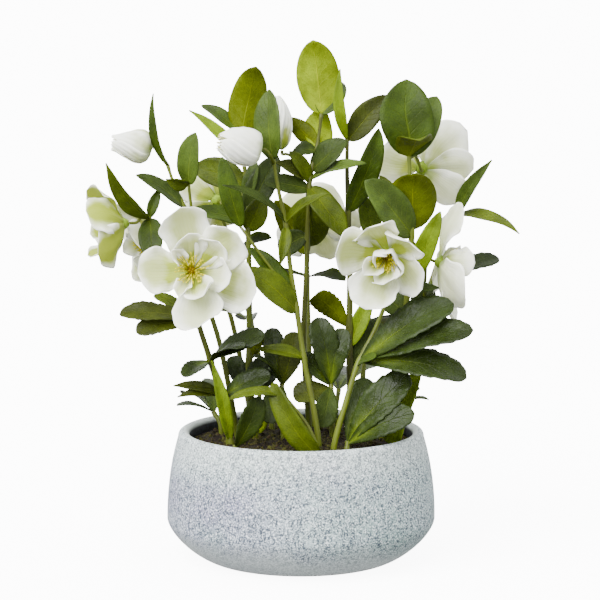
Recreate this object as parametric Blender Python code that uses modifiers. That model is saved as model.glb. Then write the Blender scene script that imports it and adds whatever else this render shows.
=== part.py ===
"""Potted hellebore: a low stoneware bowl, its soil, leafy flower stems, blooms, buds and ground leaves.

The tables of places are in millimetres: X to the right, Y to the back, Z up from the table, with the
origin under the middle of the bowl. Blender's own units here are metres.
"""

import math

import bmesh
import bpy
from mathutils import Matrix, Vector

MM = 0.001

# Bowl: the outline of its outer face, foot to lip, as radius and height
BOWL_FOOT_RADIUS = 68.0
BOWL_WIDEST_RADIUS = 100.0
BOWL_WIDEST_HEIGHT = 30.0
BOWL_HEIGHT = 96.0
BOWL_LIP_OUTER_RADIUS = 91.5
BOWL_WALL = 8.5
BOWL_FLOOR = 9.0
BOWL_SEGMENTS = 28
BOWL_BELLY_STATIONS = (0.0, 0.07, 0.21, 0.42, 0.68, 1.0)
BOWL_BELLY_POWER = 1.5
BOWL_BELLY_ROOT = 1.3
BOWL_SIDE_STEPS = 3
BOWL_SIDE_POWER = 2.1
BOWL_LIP_HEIGHT = 4.5
BOWL_LIP_STEPS = 4

# Bowl: its hollow, where the wall runs straight down, swells out, then turns in to a flat floor
HOLLOW_TOP_HEIGHT = 88.0
HOLLOW_WIDEST_HEIGHT = 40.0
HOLLOW_FLOOR_RADIUS = 60.0
HOLLOW_SIDE_STEPS = 2
HOLLOW_SIDE_POWER = 0.9
HOLLOW_TURN_STEPS = 2

# Soil: it fills the bowl up to a low mound
SOIL_GAP = 0.35
SOIL_EDGE_HEIGHT = 86.0
SOIL_MOUND = 6.0
SOIL_MOUND_POWER = 0.8
SOIL_RINGS = (0.0, 0.3, 0.62, 0.92)
SOIL_EDGE_ROUND = 0.3

# Clods: a long and a short pattern of waves over the soil, in radians a millimetre
CLOD_RISE = 1.1
CLOD_FADE = 6
CLOD_LONG = (0.19, 0.16)
CLOD_SHORT = (0.23, 0.31)
CLOD_SHORT_SHARE = 0.7
CLOD_SHIFT = 0.7

# Each stalk's hole in the soil: this much wider all round, this much deeper, and up to well above the soil
HOLE_GAP = 0.35
HOLE_DEEPER = 0.5
HOLE_TOP_HEIGHT = 100.0

# Stalks and blades
STALK_SIDES = 6
TWIG_SIDES = 4
TWIG_RADIUS = 1.1
BLADE_THICKNESS = 0.7
TEPAL_THICKNESS = 0.7
TIP_GAP = 0.3
STALK_END = 6.0

# Meshes: points closer than WELD, in metres, are one, and faces within FLAT_ANGLE degrees are one plane
WELD = 0.000002
FLAT_ANGLE = 0.6
SHARP_ANGLE = 40.0

# Blooms: the seat, the two rings of tepals that root round it, and the stamens on their dome
SEAT_DEPTH = 4.6
SEAT_FOOT_RADIUS = 2.2
SEAT_TOP_RADIUS = 5.4
SEAT_SEGMENTS = 8
RING_COUNT = 5
OUTER_TEPAL_LIFT = -1.4
INNER_TEPAL_LIFT = -0.4
INNER_CLOSER = 24.0
TEPAL_STAGGER = 4.0
TEPAL_TWIST = 16.0
TEPAL_ROOT_RADIUS = 2.6
DOME_RADIUS = 1.9
DOME_HALF_HEIGHT = 1.7
STAMEN_COUNT = 6
STAMEN_LENGTH = 12.0
STAMEN_SHORTEST_SHARE = 0.75
STAMEN_FOOT_RADIUS = 0.42
STAMEN_TIP_RADIUS = 0.8
STAMEN_RING_RADIUS = 1.2
STAMEN_LEAN = 4.0
STAMEN_CLEARANCE = 7.0
FACING_UP_LIMIT = 0.2

# Buds: an egg with a blunt root and a narrower tip, wrapped in tepals that wind round it
BUD_SEGMENTS = 10
BUD_RINGS = 7
BUD_TAPER_POWER = 0.18
BUD_FULLNESS = 1.08
BUD_FURROW = 0.07
BUD_WIND = 0.9

# How a blade's half width runs from root to tip: powers of the distance from the root and from the tip
OUTLINES = {
    "bract": (0.60, 0.68),
    "narrow": (0.80, 1.05),
    "lobe": (0.95, 0.48),
    "strap": (0.30, 0.45),
    "tepal": (0.95, 0.42),
    "inner_tepal": (1.00, 0.50),
}
# How far each blade bows out along its length, as a share of it, and how far its halves fold up, in degrees
BOWS = {"bract": 0.07, "narrow": 0.10, "lobe": 0.09, "strap": 0.12, "tepal": -0.12, "inner_tepal": -0.12}
FOLDS = {"bract": 14.0, "narrow": 26.0, "lobe": 12.0, "strap": 12.0, "tepal": 10.0, "inner_tepal": 12.0}
# How many steps a blade is laid out in, which is fewer for one shorter than SHORT_BLADE
STEPS = {"bract": 4, "narrow": 3, "strap": 4, "tepal": 4, "inner_tepal": 3}
SHORT_BLADE = 42.0
FEWEST_STEPS = 3
# The stations of a toothed lobe, and how far its edge stands out or in at each
LOBE_STATIONS = (0.0, 0.28, 0.64, 0.71, 0.88, 1.0)
LOBE_TEETH = (1.0, 1.0, 1.12, 0.9, 1.05, 1.0)

# Each leafy stem: its route, its radius at foot and top, its side twigs, and its leaves as
# (where it springs, its tip, the way its upper face looks, its width, its outline)
LEAFY_STEMS = {
    "stem_left_front": {
        "route": [(-50, -28, 66), (-52, -28, 92), (-58, -28, 122), (-66, -32, 152), (-76, -38, 186),
                  (-80, -41, 208)],
        "radii": (2.7, 1.6),
        "blooms": [("front_left", [(-80, -41, 208), (-80.5, -48, 220)])],
        "leaves": [
            ((-75, -37, 182), (-131, -50, 190), (0.0, -0.65, 0.75), 19, "lobe"),
            ((-75, -37, 182), (-119, -53, 177), (0.0, -0.65, 0.75), 17, "lobe"),
            ((-75, -37, 182), (-107, -30, 201), (0.0, -0.65, 0.75), 11, "lobe"),
            ((-65, -32, 152), (-26, -58, 175), (-0.3, -0.6, 0.7), 19, "lobe"),
            ((-65, -32, 152), (-41, -66, 168), (0.0, -0.5, 0.85), 17, "lobe"),
            ((-65, -32, 152), (-85, -53, 144), (-0.2, -0.6, 0.7), 15, "lobe"),
            ((-59, -28, 126), (-93, -38, 135), (0.0, -0.6, 0.8), 11, "narrow"),
            ((-59, -28, 126), (-90, -42, 128), (0.0, -0.6, 0.8), 10, "narrow"),
            ((-59, -28, 124), (-22, -42, 144), (0.1, -0.75, 0.65), 17, "lobe"),
            ((-53, -28, 91), (-65, -37, 154), (0.2, -0.95, 0.2), 11, "narrow"),
        ],
    },
    "stem_left": {
        "route": [(-44, -12, 66), (-47, -13, 92), (-54, -16, 135), (-63, -18, 175), (-78, -18, 212),
                  (-97, -14, 240), (-112, -14, 256)],
        "radii": (2.3, 1.3),
        "blooms": [("far_left", [(-110, -14, 254), (-116, -17, 257)]),
                   ("left_inner", [(-82, -17, 219), (-92, 4, 230)])],
        "leaves": [
            ((-111, -14, 255), (-140, -50, 298), (-0.4, -0.9, 0.1), 15, "narrow"),
            ((-111, -14, 255), (-106, -38, 226), (-0.1, -0.9, 0.4), 19, "bract"),
            ((-111, -14, 255), (-104, -8, 277), (0.0, -1.0, 0.0), 9, "narrow"),
        ],
    },
    "stem_left_bud": {
        "route": [(-34, 8, 66), (-36, 8, 92), (-42, 6, 130), (-52, 2, 180), (-66, -2, 220), (-78, -4, 246),
                  (-86, -4, 263), (-94, -2, 281), (-98, 0, 293)],
        "radii": (2.1, 1.1),
        "twigs": [[(-72, -3, 234), (-79, -14, 256), (-82, -18, 281)]],
        "buds": [("left", [(-97.5, 0, 292), (-101, 0, 298)])],
        "leaves": [
            ((-97, 0, 292), (-108, -8, 346), (-0.7, -0.7, 0.0), 10, "narrow"),
            ((-82, -18, 280), (-77, -28, 319), (-0.4, -0.85, 0.3), 20, "bract"),
            ((-82, -18, 281), (-98, -28, 285), (0.2, -0.8, -0.5), 12, "narrow"),
            ((-86, -4, 262), (-120, -14, 288), (0.2, -0.7, 0.7), 14, "bract"),
        ],
    },
    "stem_mid_left": {
        "route": [(-32, -8, 66), (-34, -10, 92), (-38, -12, 130), (-38, -14, 170), (-38, -16, 212),
                  (-39, -14, 252), (-41, -8, 285), (-43, -6, 316)],
        "radii": (2.9, 1.3),
        "leaves": [
            ((-41, -9, 280), (-79, 2, 292), (0.1, -0.9, 0.4), 23, "bract"),
            ((-39, -14, 250), (-80, -22, 262), (0.0, -0.6, 0.8), 16, "bract"),
            ((-40, -11, 268), (-33, -6, 297), (-0.3, -0.9, 0.3), 12, "bract"),
            ((-39, -13, 257), (-17, -4, 301), (-0.1, -0.9, 0.2), 22, "bract"),
            ((-39, -14, 246), (-28, -22, 272), (0.2, -0.9, 0.2), 18, "bract"),
            ((-43, -6, 315), (-33, -10, 367), (-0.2, 0.95, 0.1), 28, "bract"),
            ((-43, -6, 315), (-73, 2, 338), (0.0, -0.5, 0.85), 12, "bract"),
            ((-42, -8, 297), (-81, -16, 335), (-0.1, -0.8, 0.6), 11, "narrow"),
            ((-38, -12, 122), (-27, -23, 153), (0.0, -0.8, 0.6), 16, "lobe"),
            ((-38, -12, 122), (-52, -4, 152), (0.0, -0.9, 0.4), 15, "lobe"),
            ((-38, -12, 127), (-19, -18, 141), (0.0, -0.8, 0.6), 15, "lobe"),
            ((-38, -13, 150), (-28, -24, 170), (0.0, 0.9, 0.4), 9, "bract"),
            ((-35, -10, 95), (-25, -24, 117), (0.3, 0.9, 0.2), 12, "strap"),
        ],
    },
    "stem_centre_front": {
        "route": [(12, -42, 66), (13, -42, 92), (8, -40, 125), (3, -38, 150), (-3, -35, 190), (-8, -32, 223),
                  (-11, -30, 253), (-16, -31, 276), (-20, -32, 300)],
        "radii": (2.3, 1.2),
        "buds": [("centre", [(-20, -32, 297), (-22, -41, 303)])],
        "twigs": [[(-5, -34, 200), (-19, -35, 217), (-44, -32, 251)]],
        "leaves": [
            ((-44, -32, 250), (-57, -37, 302), (-0.2, -0.95, 0.2), 16, "bract"),
            ((2, -37, 155), (-33, -43, 163), (0.0, -0.7, 0.7), 11, "narrow"),
            ((-20, -32, 299), (-23, -26, 350), (-0.5, -0.8, 0.2), 23, "bract"),
            ((-11, -30, 253), (-56, -52, 283), (0.3, -0.5, 0.8), 11, "narrow"),
            ((-11, -30, 253), (20, -46, 277), (-0.3, -0.6, 0.6), 11, "narrow"),
            ((-11, -30, 251), (-15, -42, 224), (0.1, -1.0, 0.0), 10, "narrow"),
            ((-4, -34, 189), (-41, -48, 223), (0.3, -0.85, 0.4), 22, "bract"),
            ((-5, -34, 197), (-38, -28, 236), (0.5, -0.8, 0.3), 17, "bract"),
        ],
    },
    "stem_centre_tall": {
        "route": [(5, 0, 66), (6, -3, 95), (2, -5, 160), (4, -8, 216), (6, -10, 279), (12, -2, 308),
                  (15, 0, 331)],
        "radii": (2.3, 1.2),
        "buds": [("behind", [(8, -7, 290), (-4, -2, 298), (-10, 0, 301)])],
        "leaves": [
            ((15, 0, 330), (9, -5, 386), (0.1, 0.95, 0.1), 33, "bract"),
            ((15, 0, 330), (30, 16, 354), (0.0, -0.7, 0.7), 22, "bract"),
            ((12, -1, 306), (15, 12, 334), (0.0, 0.95, -0.2), 22, "bract"),
            ((12, -1, 306), (-10, 12, 327), (0.0, 0.9, 0.3), 15, "bract"),
            ((6, -10, 283), (47, -28, 297), (0.0, -0.5, 0.85), 14, "bract"),
            ((6, -10, 282), (-8, -22, 305), (0.2, -0.8, 0.5), 12, "bract"),
            ((6, -10, 284), (-19, -16, 297), (0.1, -0.9, 0.4), 14, "narrow"),
            ((6, -10, 276), (-27, -18, 282), (0.0, -0.8, 0.5), 16, "bract"),
            ((11, -3, 304), (-8, -7, 302), (0.0, -0.8, 0.6), 13, "narrow"),
            ((5, -9, 242), (-18, 6, 229), (0.0, -0.9, 0.3), 18, "bract"),
            ((8, -7, 290), (34, -14, 312), (0.0, -0.8, 0.6), 21, "bract"),
            ((6, -10, 278), (32, -22, 242), (0.4, -0.85, 0.3), 22, "bract"),
            ((6, -9, 272), (8, 10, 230), (0.0, -0.95, -0.2), 27, "bract"),
        ],
    },
    "stem_mid_right": {
        "route": [(34, 4, 66), (37, 2, 95), (36, 0, 163), (36, 0, 223), (34, 2, 282), (34, 2, 312)],
        "radii": (2.9, 1.3),
        "leaves": [
            ((34, 2, 311), (28, -12, 364), (-0.4, -0.9, 0.0), 10, "narrow"),
            ((34, 2, 311), (64, 2, 344), (0.1, -0.9, 0.4), 20, "bract"),
            ((36, 1, 258), (57, -18, 321), (0.4, -0.9, 0.1), 20, "bract"),
            ((36, 0, 158), (52, 6, 196), (0.1, -0.9, 0.3), 13, "bract"),
            ((36, 0, 172), (9, -14, 199), (0.0, 0.9, 0.4), 19, "lobe"),
            ((36, 0, 140), (58, 14, 176), (0.0, -0.9, 0.4), 18, "lobe"),
        ],
    },
    "stem_front_right": {
        "route": [(22, -51, 66), (24, -51, 93), (33, -48, 126), (41, -43, 151), (54, -34, 176),
                  (64, -28, 200)],
        "radii": (2.3, 1.5),
        "blooms": [("front_right", [(64, -28, 200), (66, -32, 216)])],
        "leaves": [
            ((43, -42, 153), (109, -62, 200), (-0.3, -0.8, 0.5), 29, "lobe"),
            ((43, -42, 153), (123, -70, 181), (-0.2, -0.75, 0.65), 26, "lobe"),
            ((43, -42, 153), (119, -74, 149), (0.0, -0.75, 0.65), 27, "lobe"),
            ((41, -43, 150), (54, -60, 160), (0.0, -0.7, 0.7), 9, "lobe"),
        ],
    },
    "stem_right_tall": {
        "route": [(57, -6, 66), (60, -7, 92), (68, -10, 135), (76, -12, 180), (80, -13, 220), (81, -13, 246),
                  (80, -12, 275), (79, -10, 301)],
        "radii": (2.6, 1.4),
        "blooms": [("back_right", [(79, -10, 299), (84, 4, 300)])],
        "leaves": [
            ((81, -13, 246), (82, -30, 291), (0.0, 0.95, 0.2), 37, "bract"),
            ((81, -13, 242), (47, -34, 285), (0.3, -0.85, 0.4), 29, "bract"),
            ((81, -13, 246), (58, -4, 286), (0.0, -0.9, 0.3), 13, "bract"),
            ((81, -13, 240), (86, -40, 211), (0.1, -0.6, -0.7), 17, "bract"),
            ((79, -13, 208), (101, -32, 262), (0.1, -0.95, 0.2), 16, "bract"),
            ((77, -12, 184), (59, -4, 200), (0.0, -0.9, 0.4), 20, "bract"),
            ((79, -13, 200), (101, -21, 205), (0.0, -0.8, 0.5), 10, "narrow"),
            ((79, -10, 300), (77, -8, 357), (0.0, -0.98, 0.2), 41, "bract"),
            ((79, -10, 300), (85, -44, 318), (0.0, -0.4, 0.9), 28, "bract"),
            ((79, -10, 300), (100, 6, 344), (0.1, -0.9, 0.3), 24, "bract"),
        ],
    },
    "stem_right": {
        "route": [(63, 12, 66), (66, 12, 95), (78, 17, 140), (91, 27, 180), (102, 34, 215), (111, 35, 238),
                  (117, 32, 253)],
        "radii": (2.4, 1.3),
        "blooms": [("right", [(91, 27, 181), (92, 17, 193), (92, 5, 206)])],
        "leaves": [
            ((117, 32, 252), (141, 12, 296), (-0.3, -0.85, 0.4), 12, "narrow"),
            ((117, 32, 252), (162, 4, 243), (0.0, -0.5, 0.85), 15, "narrow"),
            ((98, 31, 202), (150, 50, 218), (0.0, -0.7, 0.7), 15, "lobe"),
            ((84, 20, 158), (95, 20, 200), (0.0, -0.95, 0.3), 21, "lobe"),
        ],
    },
    "stem_back_left": {
        "route": [(-20, 24, 66), (-22, 28, 95), (-33, 38, 150), (-45, 46, 198), (-55, 51, 236)],
        "radii": (2.3, 1.3),
        "blooms": [("back_left", [(-54, 50, 234), (-60, 50, 250)])],
        "leaves": [
            ((-51, 49, 218), (-90, 66, 226), (-0.3, 0.4, 0.9), 20, "bract"),
            ((-51, 49, 218), (-66, 92, 218), (0.0, 0.4, 0.9), 21, "bract"),
            ((-51, 49, 218), (-24, 82, 232), (-0.2, 0.6, 0.7), 21, "bract"),
            ((-38, 41, 170), (-72, 66, 176), (0.0, 0.3, 0.9), 18, "lobe"),
            ((-38, 41, 170), (-44, 88, 166), (0.0, 0.3, 0.9), 17, "lobe"),
        ],
    },
    "stem_back_centre": {
        "route": [(8, 30, 66), (8, 33, 95), (6, 42, 150), (5, 52, 196), (5, 58, 222)],
        "radii": (2.4, 1.3),
        "blooms": [("back_centre", [(5, 58, 220), (7, 60, 232)])],
        "leaves": [
            ((5, 54, 203), (-28, 84, 200), (0.0, 0.4, 0.9), 20, "bract"),
            ((5, 54, 203), (34, 88, 196), (0.0, 0.4, 0.9), 21, "bract"),
            ((5, 58, 220), (-20, 56, 262), (0.0, 0.9, 0.3), 19, "bract"),
        ],
    },
    "stem_back_right": {
        "route": [(42, 32, 66), (44, 36, 95), (49, 46, 150), (54, 58, 198), (57, 66, 228)],
        "radii": (2.3, 1.2),
        "buds": [("back", [(57, 66, 226), (56, 71, 234)])],
        "leaves": [
            ((56, 65, 223), (90, 84, 222), (0.2, 0.3, 0.9), 19, "bract"),
            ((56, 65, 223), (46, 104, 220), (-0.2, 0.5, 0.8), 20, "bract"),
            ((57, 66, 227), (48, 52, 266), (0.0, 0.95, 0.2), 17, "bract"),
            ((51, 50, 170), (88, 74, 164), (0.0, 0.3, 0.9), 18, "lobe"),
            ((51, 50, 170), (62, 96, 158), (0.0, 0.3, 0.9), 18, "lobe"),
        ],
    },
}

# The ground leaves: cut blades, or one strap, on a stalk of their own from the soil
GROUND_LEAVES = {
    "leaf_front_dark": {
        "route": [(31, -45, 66), (34, -47, 96)],
        "radii": (2.0, 1.6),
        "leaves": [
            ((34, -47, 93), (81, -68, 121), (-0.2, -0.75, 0.6), 22, "lobe"),
            ((34, -47, 93), (78, -52, 146), (-0.4, -0.8, 0.4), 27, "lobe"),
            ((34, -47, 93), (48, -32, 141), (-0.2, -0.95, 0.1), 19, "lobe"),
        ],
    },
    "leaf_front_strap": {
        "route": [(11, -63, 66), (11, -63, 92), (4, -62, 111), (-14, -59, 134)],
        "radii": (2.0, 0.9),
        "leaves": [
            ((11, -63, 89), (-21, -60, 141), (-0.6, -0.6, 0.5), 19, "strap"),
            ((-13, -59, 132), (-52, -62, 130), (-0.1, -0.6, 0.8), 9, "strap"),
        ],
    },
    "leaf_front_left": {
        "route": [(-47, -42, 66), (-48, -42, 92)],
        "radii": (1.9, 1.5),
        "leaves": [
            ((-48, -42, 90), (-30, -58, 130), (0.4, -0.85, 0.3), 18, "lobe"),
        ],
    },
    "leaf_centre_left": {
        "route": [(-12, -20, 66), (-13, -20, 95), (-14, -21, 134)],
        "radii": (2.1, 1.5),
        "leaves": [
            ((-14, -21, 132), (-34, -42, 158), (0.2, -0.3, 0.9), 13, "lobe"),
            ((-14, -21, 132), (-22, -12, 174), (0.0, -0.95, 0.2), 17, "lobe"),
            ((-14, -21, 132), (-24, -42, 108), (0.0, -0.9, 0.4), 18, "lobe"),
            ((-14, -21, 132), (-4, -20, 172), (0.0, -0.95, 0.2), 15, "lobe"),
        ],
    },
    "leaf_centre_right": {
        "route": [(22, -18, 66), (23, -20, 95), (22, -22, 134)],
        "radii": (2.1, 1.5),
        "leaves": [
            ((22, -22, 132), (12, -26, 184), (0.2, -0.9, 0.3), 21, "lobe"),
            ((22, -22, 132), (31, -26, 176), (-0.2, -0.9, 0.3), 19, "lobe"),
            ((22, -22, 130), (-6, -28, 126), (0.1, -0.8, 0.5), 15, "lobe"),
            ((22, -22, 132), (1, -26, 156), (0.3, -0.8, 0.4), 15, "lobe"),
            ((22, -22, 132), (14, -36, 104), (0.2, -0.9, 0.3), 15, "lobe"),
        ],
    },
    "leaf_right_strap": {
        "route": [(66, -24, 66), (67, -25, 92)],
        "radii": (2.3, 1.8),
        "leaves": [((67, -25, 88), (86, -38, 147), (-0.4, -0.9, 0.2), 18, "strap")],
    },
    "leaf_left_low": {
        "route": [(-58, 12, 66), (-60, 14, 95), (-66, 18, 106)],
        "radii": (2.0, 1.5),
        "leaves": [
            ((-65, 18, 105), (-93, 10, 112), (0.2, 0.0, 0.9), 15, "lobe"),
            ((-65, 18, 105), (-90, 44, 118), (0.2, 0.1, 0.9), 18, "lobe"),
            ((-65, 18, 105), (-68, 58, 124), (0.0, 0.0, 1.0), 17, "lobe"),
        ],
    },
    "leaf_back_left": {
        "route": [(-30, 44, 66), (-31, 46, 95), (-32, 52, 118)],
        "radii": (2.0, 1.5),
        "leaves": [
            ((-32, 52, 117), (-60, 84, 132), (0.1, 0.1, 1.0), 19, "lobe"),
            ((-32, 52, 117), (-34, 98, 128), (0.0, 0.1, 1.0), 19, "lobe"),
            ((-32, 52, 117), (-8, 88, 136), (0.0, 0.1, 1.0), 18, "lobe"),
        ],
    },
    "leaf_back_right": {
        "route": [(24, 50, 66), (26, 53, 95), (29, 60, 116)],
        "radii": (2.0, 1.5),
        "leaves": [
            ((29, 60, 115), (12, 104, 124), (0.0, 0.1, 1.0), 19, "lobe"),
            ((29, 60, 115), (44, 106, 126), (0.0, 0.1, 1.0), 19, "lobe"),
            ((29, 60, 115), (70, 84, 134), (0.0, 0.0, 1.0), 19, "lobe"),
        ],
    },
    "leaf_right_low": {
        "route": [(60, 28, 66), (63, 29, 95), (68, 31, 106)],
        "radii": (2.0, 1.5),
        "leaves": [
            ((67, 31, 105), (97, 34, 114), (-0.1, 0.0, 1.0), 15, "lobe"),
            ((67, 31, 105), (88, 60, 116), (-0.1, 0.0, 1.0), 18, "lobe"),
        ],
    },
}

# Each bloom: the middle of its seat, the way it faces, how far its tepals open from that way, in degrees,
# the outer tepals as (place round the bloom in degrees, length, width), from its own right hand towards its
# top, and the inner tepals alike
BLOOMS = {
    "front_left": ((-78, -60, 222), (-0.05, -0.96, 0.24), 74,
                   [(101, 46, 37), (38, 42, 36), (-18, 47, 39), (-80, 44, 38), (176, 35, 36)],
                   [(93, 30, 26), (42, 33, 27), (-8, 31, 26), (-62, 30, 25), (-112, 23, 17), (136, 23, 16)]),
    "front_right": ((62, -58, 233), (-0.28, -0.90, -0.30), 55,
                    [(160, 42, 37), (40, 32, 33), (-36, 33, 34), (-112, 39, 38), (104, 35, 35)],
                    [(118, 23, 20), (52, 24, 21), (-14, 24, 21), (-80, 25, 23), (-150, 24, 22)]),
    "right": ((103, -8, 222), (0.92, 0.10, -0.16), 69,
              [(276, 45, 36), (206, 45, 41), (98, 44, 35), (36, 38, 35), (342, 38, 35)],
              [(165, 27, 23), (250, 28, 23), (20, 26, 22)]),
    "far_left": ((-130, -22, 252), (-0.94, -0.16, -0.08), 44,
                 [(35, 36, 36), (107, 35, 37), (179, 35, 37), (251, 36, 37), (323, 36, 36)],
                 [(70, 26, 21), (215, 26, 22)]),
    "left_inner": ((-112, 10, 237), (-0.84, -0.36, -0.28), 62,
                   [(20, 35, 32), (92, 37, 34), (164, 34, 32), (236, 35, 32), (308, 37, 33)],
                   [(56, 22, 18), (200, 23, 19), (272, 23, 19)]),
    "back_right": ((90, 22, 289), (0.10, 0.97, 0.06), 68,
                   [(142, 43, 36), (182, 37, 31), (219, 38, 29), (292, 38, 34), (10, 37, 34)],
                   [(30, 26, 20), (110, 26, 20), (260, 26, 20)]),
    "back_left": ((-64, 58, 262), (-0.35, 0.90, 0.20), 62,
                  [(30, 29, 27), (102, 30, 28), (174, 29, 27), (246, 28, 26), (318, 29, 27)],
                  [(66, 20, 16), (210, 20, 16), (282, 20, 16)]),
    "back_centre": ((10, 74, 242), (0.08, 0.97, 0.10), 66,
                    [(50, 33, 30), (118, 32, 30), (182, 33, 30), (248, 33, 30), (325, 32, 30)],
                    [(84, 22, 17), (150, 22, 17), (286, 22, 17)]),
}

# Each bud: its seat, the way it points, its length and its width
BUDS = {
    "left": ((-109, -1, 306), (-0.98, 0.0, 0.12), 31, 24),
    "centre": ((-28, -46, 308), (-0.95, -0.15, 0.18), 32, 26),
    "behind": ((-14, 2, 304), (-0.08, 0.10, 1.0), 40, 17),
    "back": ((55, 76, 243), (-0.25, 0.50, 0.80), 26, 18),
}

COLOURS = {
    "stoneware": ((0.62, 0.66, 0.67), 0.85),
    "soil": ((0.055, 0.042, 0.024), 1.0),
    "leaf": ((0.17, 0.27, 0.06), 0.5),
    "dark_leaf": ((0.07, 0.13, 0.06), 0.4),
    "fresh_leaf": ((0.30, 0.38, 0.07), 0.5),
    "tepal": ((0.86, 0.88, 0.74), 0.6),
    "stamen": ((0.80, 0.72, 0.22), 0.7),
}
FRESH = ("leaf_front_strap", "leaf_right_strap")


def clear_scene():
    for obj in list(bpy.data.objects):
        bpy.data.objects.remove(obj, do_unlink=True)


def new_collection(name):
    collection = bpy.data.collections.new(name)
    bpy.context.scene.collection.children.link(collection)
    return collection


def material(name):
    found = bpy.data.materials.get(name)
    if found:
        return found
    colour, roughness = COLOURS[name]
    made = bpy.data.materials.new(name)
    made.use_nodes = True
    shader = made.node_tree.nodes["Principled BSDF"]
    shader.inputs["Base Color"].default_value = (*colour, 1.0)
    shader.inputs["Roughness"].default_value = roughness
    shader.inputs["Metallic"].default_value = 0.0
    return made


def new_object(name, mesh, collection):
    obj = bpy.data.objects.new(name, mesh)
    collection.objects.link(obj)
    return obj


def applied(obj, collection, weld=True):
    """The object with its modifiers or its curve made into a plain mesh, under the same name."""
    bpy.context.view_layer.update()
    evaluated = obj.evaluated_get(bpy.context.evaluated_depsgraph_get())
    mesh = bpy.data.meshes.new_from_object(evaluated)
    name = obj.name
    bpy.data.objects.remove(obj, do_unlink=True)
    if weld:
        bm = bmesh.new()
        bm.from_mesh(mesh)
        bmesh.ops.remove_doubles(bm, verts=bm.verts, dist=WELD)
        bm.to_mesh(mesh)
        bm.free()
    return new_object(name, mesh, collection)


def smooth_route(points, pieces):
    """Points along a smooth curve through the given ones, in pieces, of which the first is straight."""
    ends = [points[0] * 2 - points[1], *points, points[-1] * 2 - points[-2]]
    route = []
    for place, (before, start, end, after) in enumerate(zip(ends, ends[1:], ends[2:], ends[3:])):
        count = pieces if place else 1
        for i in range(count):
            t = i / count
            bend = (2 * before - 5 * start + 4 * end - after) * t * t
            turn = (3 * start - before - 3 * end + after) * t * t * t
            route.append((2 * start + (end - before) * t + bend + turn) / 2)
    return [*route, points[-1]]


def stalk_route(spec):
    """A stalk's middle line: the points of a long one are close enough as they are."""
    points = [Vector(p) for p in spec["route"]]
    return smooth_route(points, 1 if len(points) > 5 else 2)


def tube(name, points, radii, collection, sides=STALK_SIDES):
    """A tapered stalk along the points, in millimetres, as a closed mesh."""
    curve = bpy.data.curves.new(name, "CURVE")
    curve.dimensions = "3D"
    curve.bevel_depth = MM
    curve.bevel_resolution = (sides - 4) // 2
    curve.use_fill_caps = True
    spline = curve.splines.new("POLY")
    spline.points.add(len(points) - 1)
    for i, point in enumerate(points):
        spline.points[i].co = (*(point * MM), 1.0)
        share = i / (len(points) - 1)
        spline.points[i].radius = radii[0] * (1 - share) + radii[1] * share
    return applied(new_object(name, curve, collection), collection)


def half_width(outline, t):
    """The share of the full half width that a blade has this far from its root."""
    from_root, from_tip = OUTLINES[outline]
    widest = from_root / (from_root + from_tip)
    return (t / widest) ** from_root * ((1 - t) / (1 - widest)) ** from_tip


def stations(outline, length):
    if outline == "lobe":
        return LOBE_STATIONS
    steps = FEWEST_STEPS if length < SHORT_BLADE else STEPS[outline]
    return [0.5 - 0.5 * math.cos(math.pi * i / steps) for i in range(steps + 1)]


def blade_point(root, tip, face, width, outline, bow, fold, twist, t, across):
    """A point of a blade's middle surface, this share along it, from -1 on one edge to 1 on the other."""
    along = tip - root
    length = along.length
    along.normalize()
    up = (face - along * face.dot(along)).normalized()
    middle = root + along * length * t + up * bow * length * 4 * t * (1 - t)
    tangent = (along + up * bow * 4 * (1 - 2 * t)).normalized()
    normal = (up - tangent * up.dot(tangent)).normalized()
    side = Matrix.Rotation(math.radians(twist) * t, 3, tangent) @ tangent.cross(normal)
    normal = side.cross(tangent)
    half = half_width(outline, t) * width / 2
    if outline == "lobe":
        half *= LOBE_TEETH[LOBE_STATIONS.index(t)]
    rise = math.radians(fold)
    return middle + side * half * across * math.cos(rise) + normal * half * abs(across) * math.sin(rise)


def blade(name, root, tip, face, width, outline, collection, bow=None, fold=None, twist=0.0):
    """A thin leaf or tepal: a grid laid on its middle surface, split into triangles, then thickened."""
    bow = BOWS[outline] if bow is None else bow
    fold = FOLDS[outline] if fold is None else fold
    places = stations(outline, (tip - root).length)
    bm = bmesh.new()
    bmesh.ops.create_grid(bm, x_segments=2, y_segments=len(places) - 1, size=0.5)
    for vert in bm.verts:
        t = places[round((vert.co.y + 0.5) * (len(places) - 1))]
        vert.co = MM * blade_point(root, tip, face, width, outline, bow, fold, twist, t, 2 * vert.co.x)
    bmesh.ops.remove_doubles(bm, verts=bm.verts, dist=WELD)
    bmesh.ops.triangulate(bm, faces=bm.faces)
    mesh = bpy.data.meshes.new(name)
    bm.to_mesh(mesh)
    bm.free()
    obj = new_object(name, mesh, collection)
    solidify = obj.modifiers.new("thickness", "SOLIDIFY")
    solidify.thickness = MM * (TEPAL_THICKNESS if outline == "tepal" else BLADE_THICKNESS)
    solidify.offset = 0.0
    return applied(obj, collection)


def joined(name, body, pieces_in, collection, material_name):
    """One solid from a body and all the pieces of a collection, which is emptied."""
    union = body.modifiers.new("union", "BOOLEAN")
    union.operation = "UNION"
    union.operand_type = "COLLECTION"
    union.collection = pieces_in
    union.solver = "MANIFOLD"
    body.name = name
    obj = applied(body, collection, weld=False)
    for piece in list(pieces_in.objects):
        bpy.data.objects.remove(piece, do_unlink=True)
    merge_flat_faces(obj)
    obj.data.materials.clear()
    obj.data.materials.append(material(material_name))
    return obj


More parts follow.
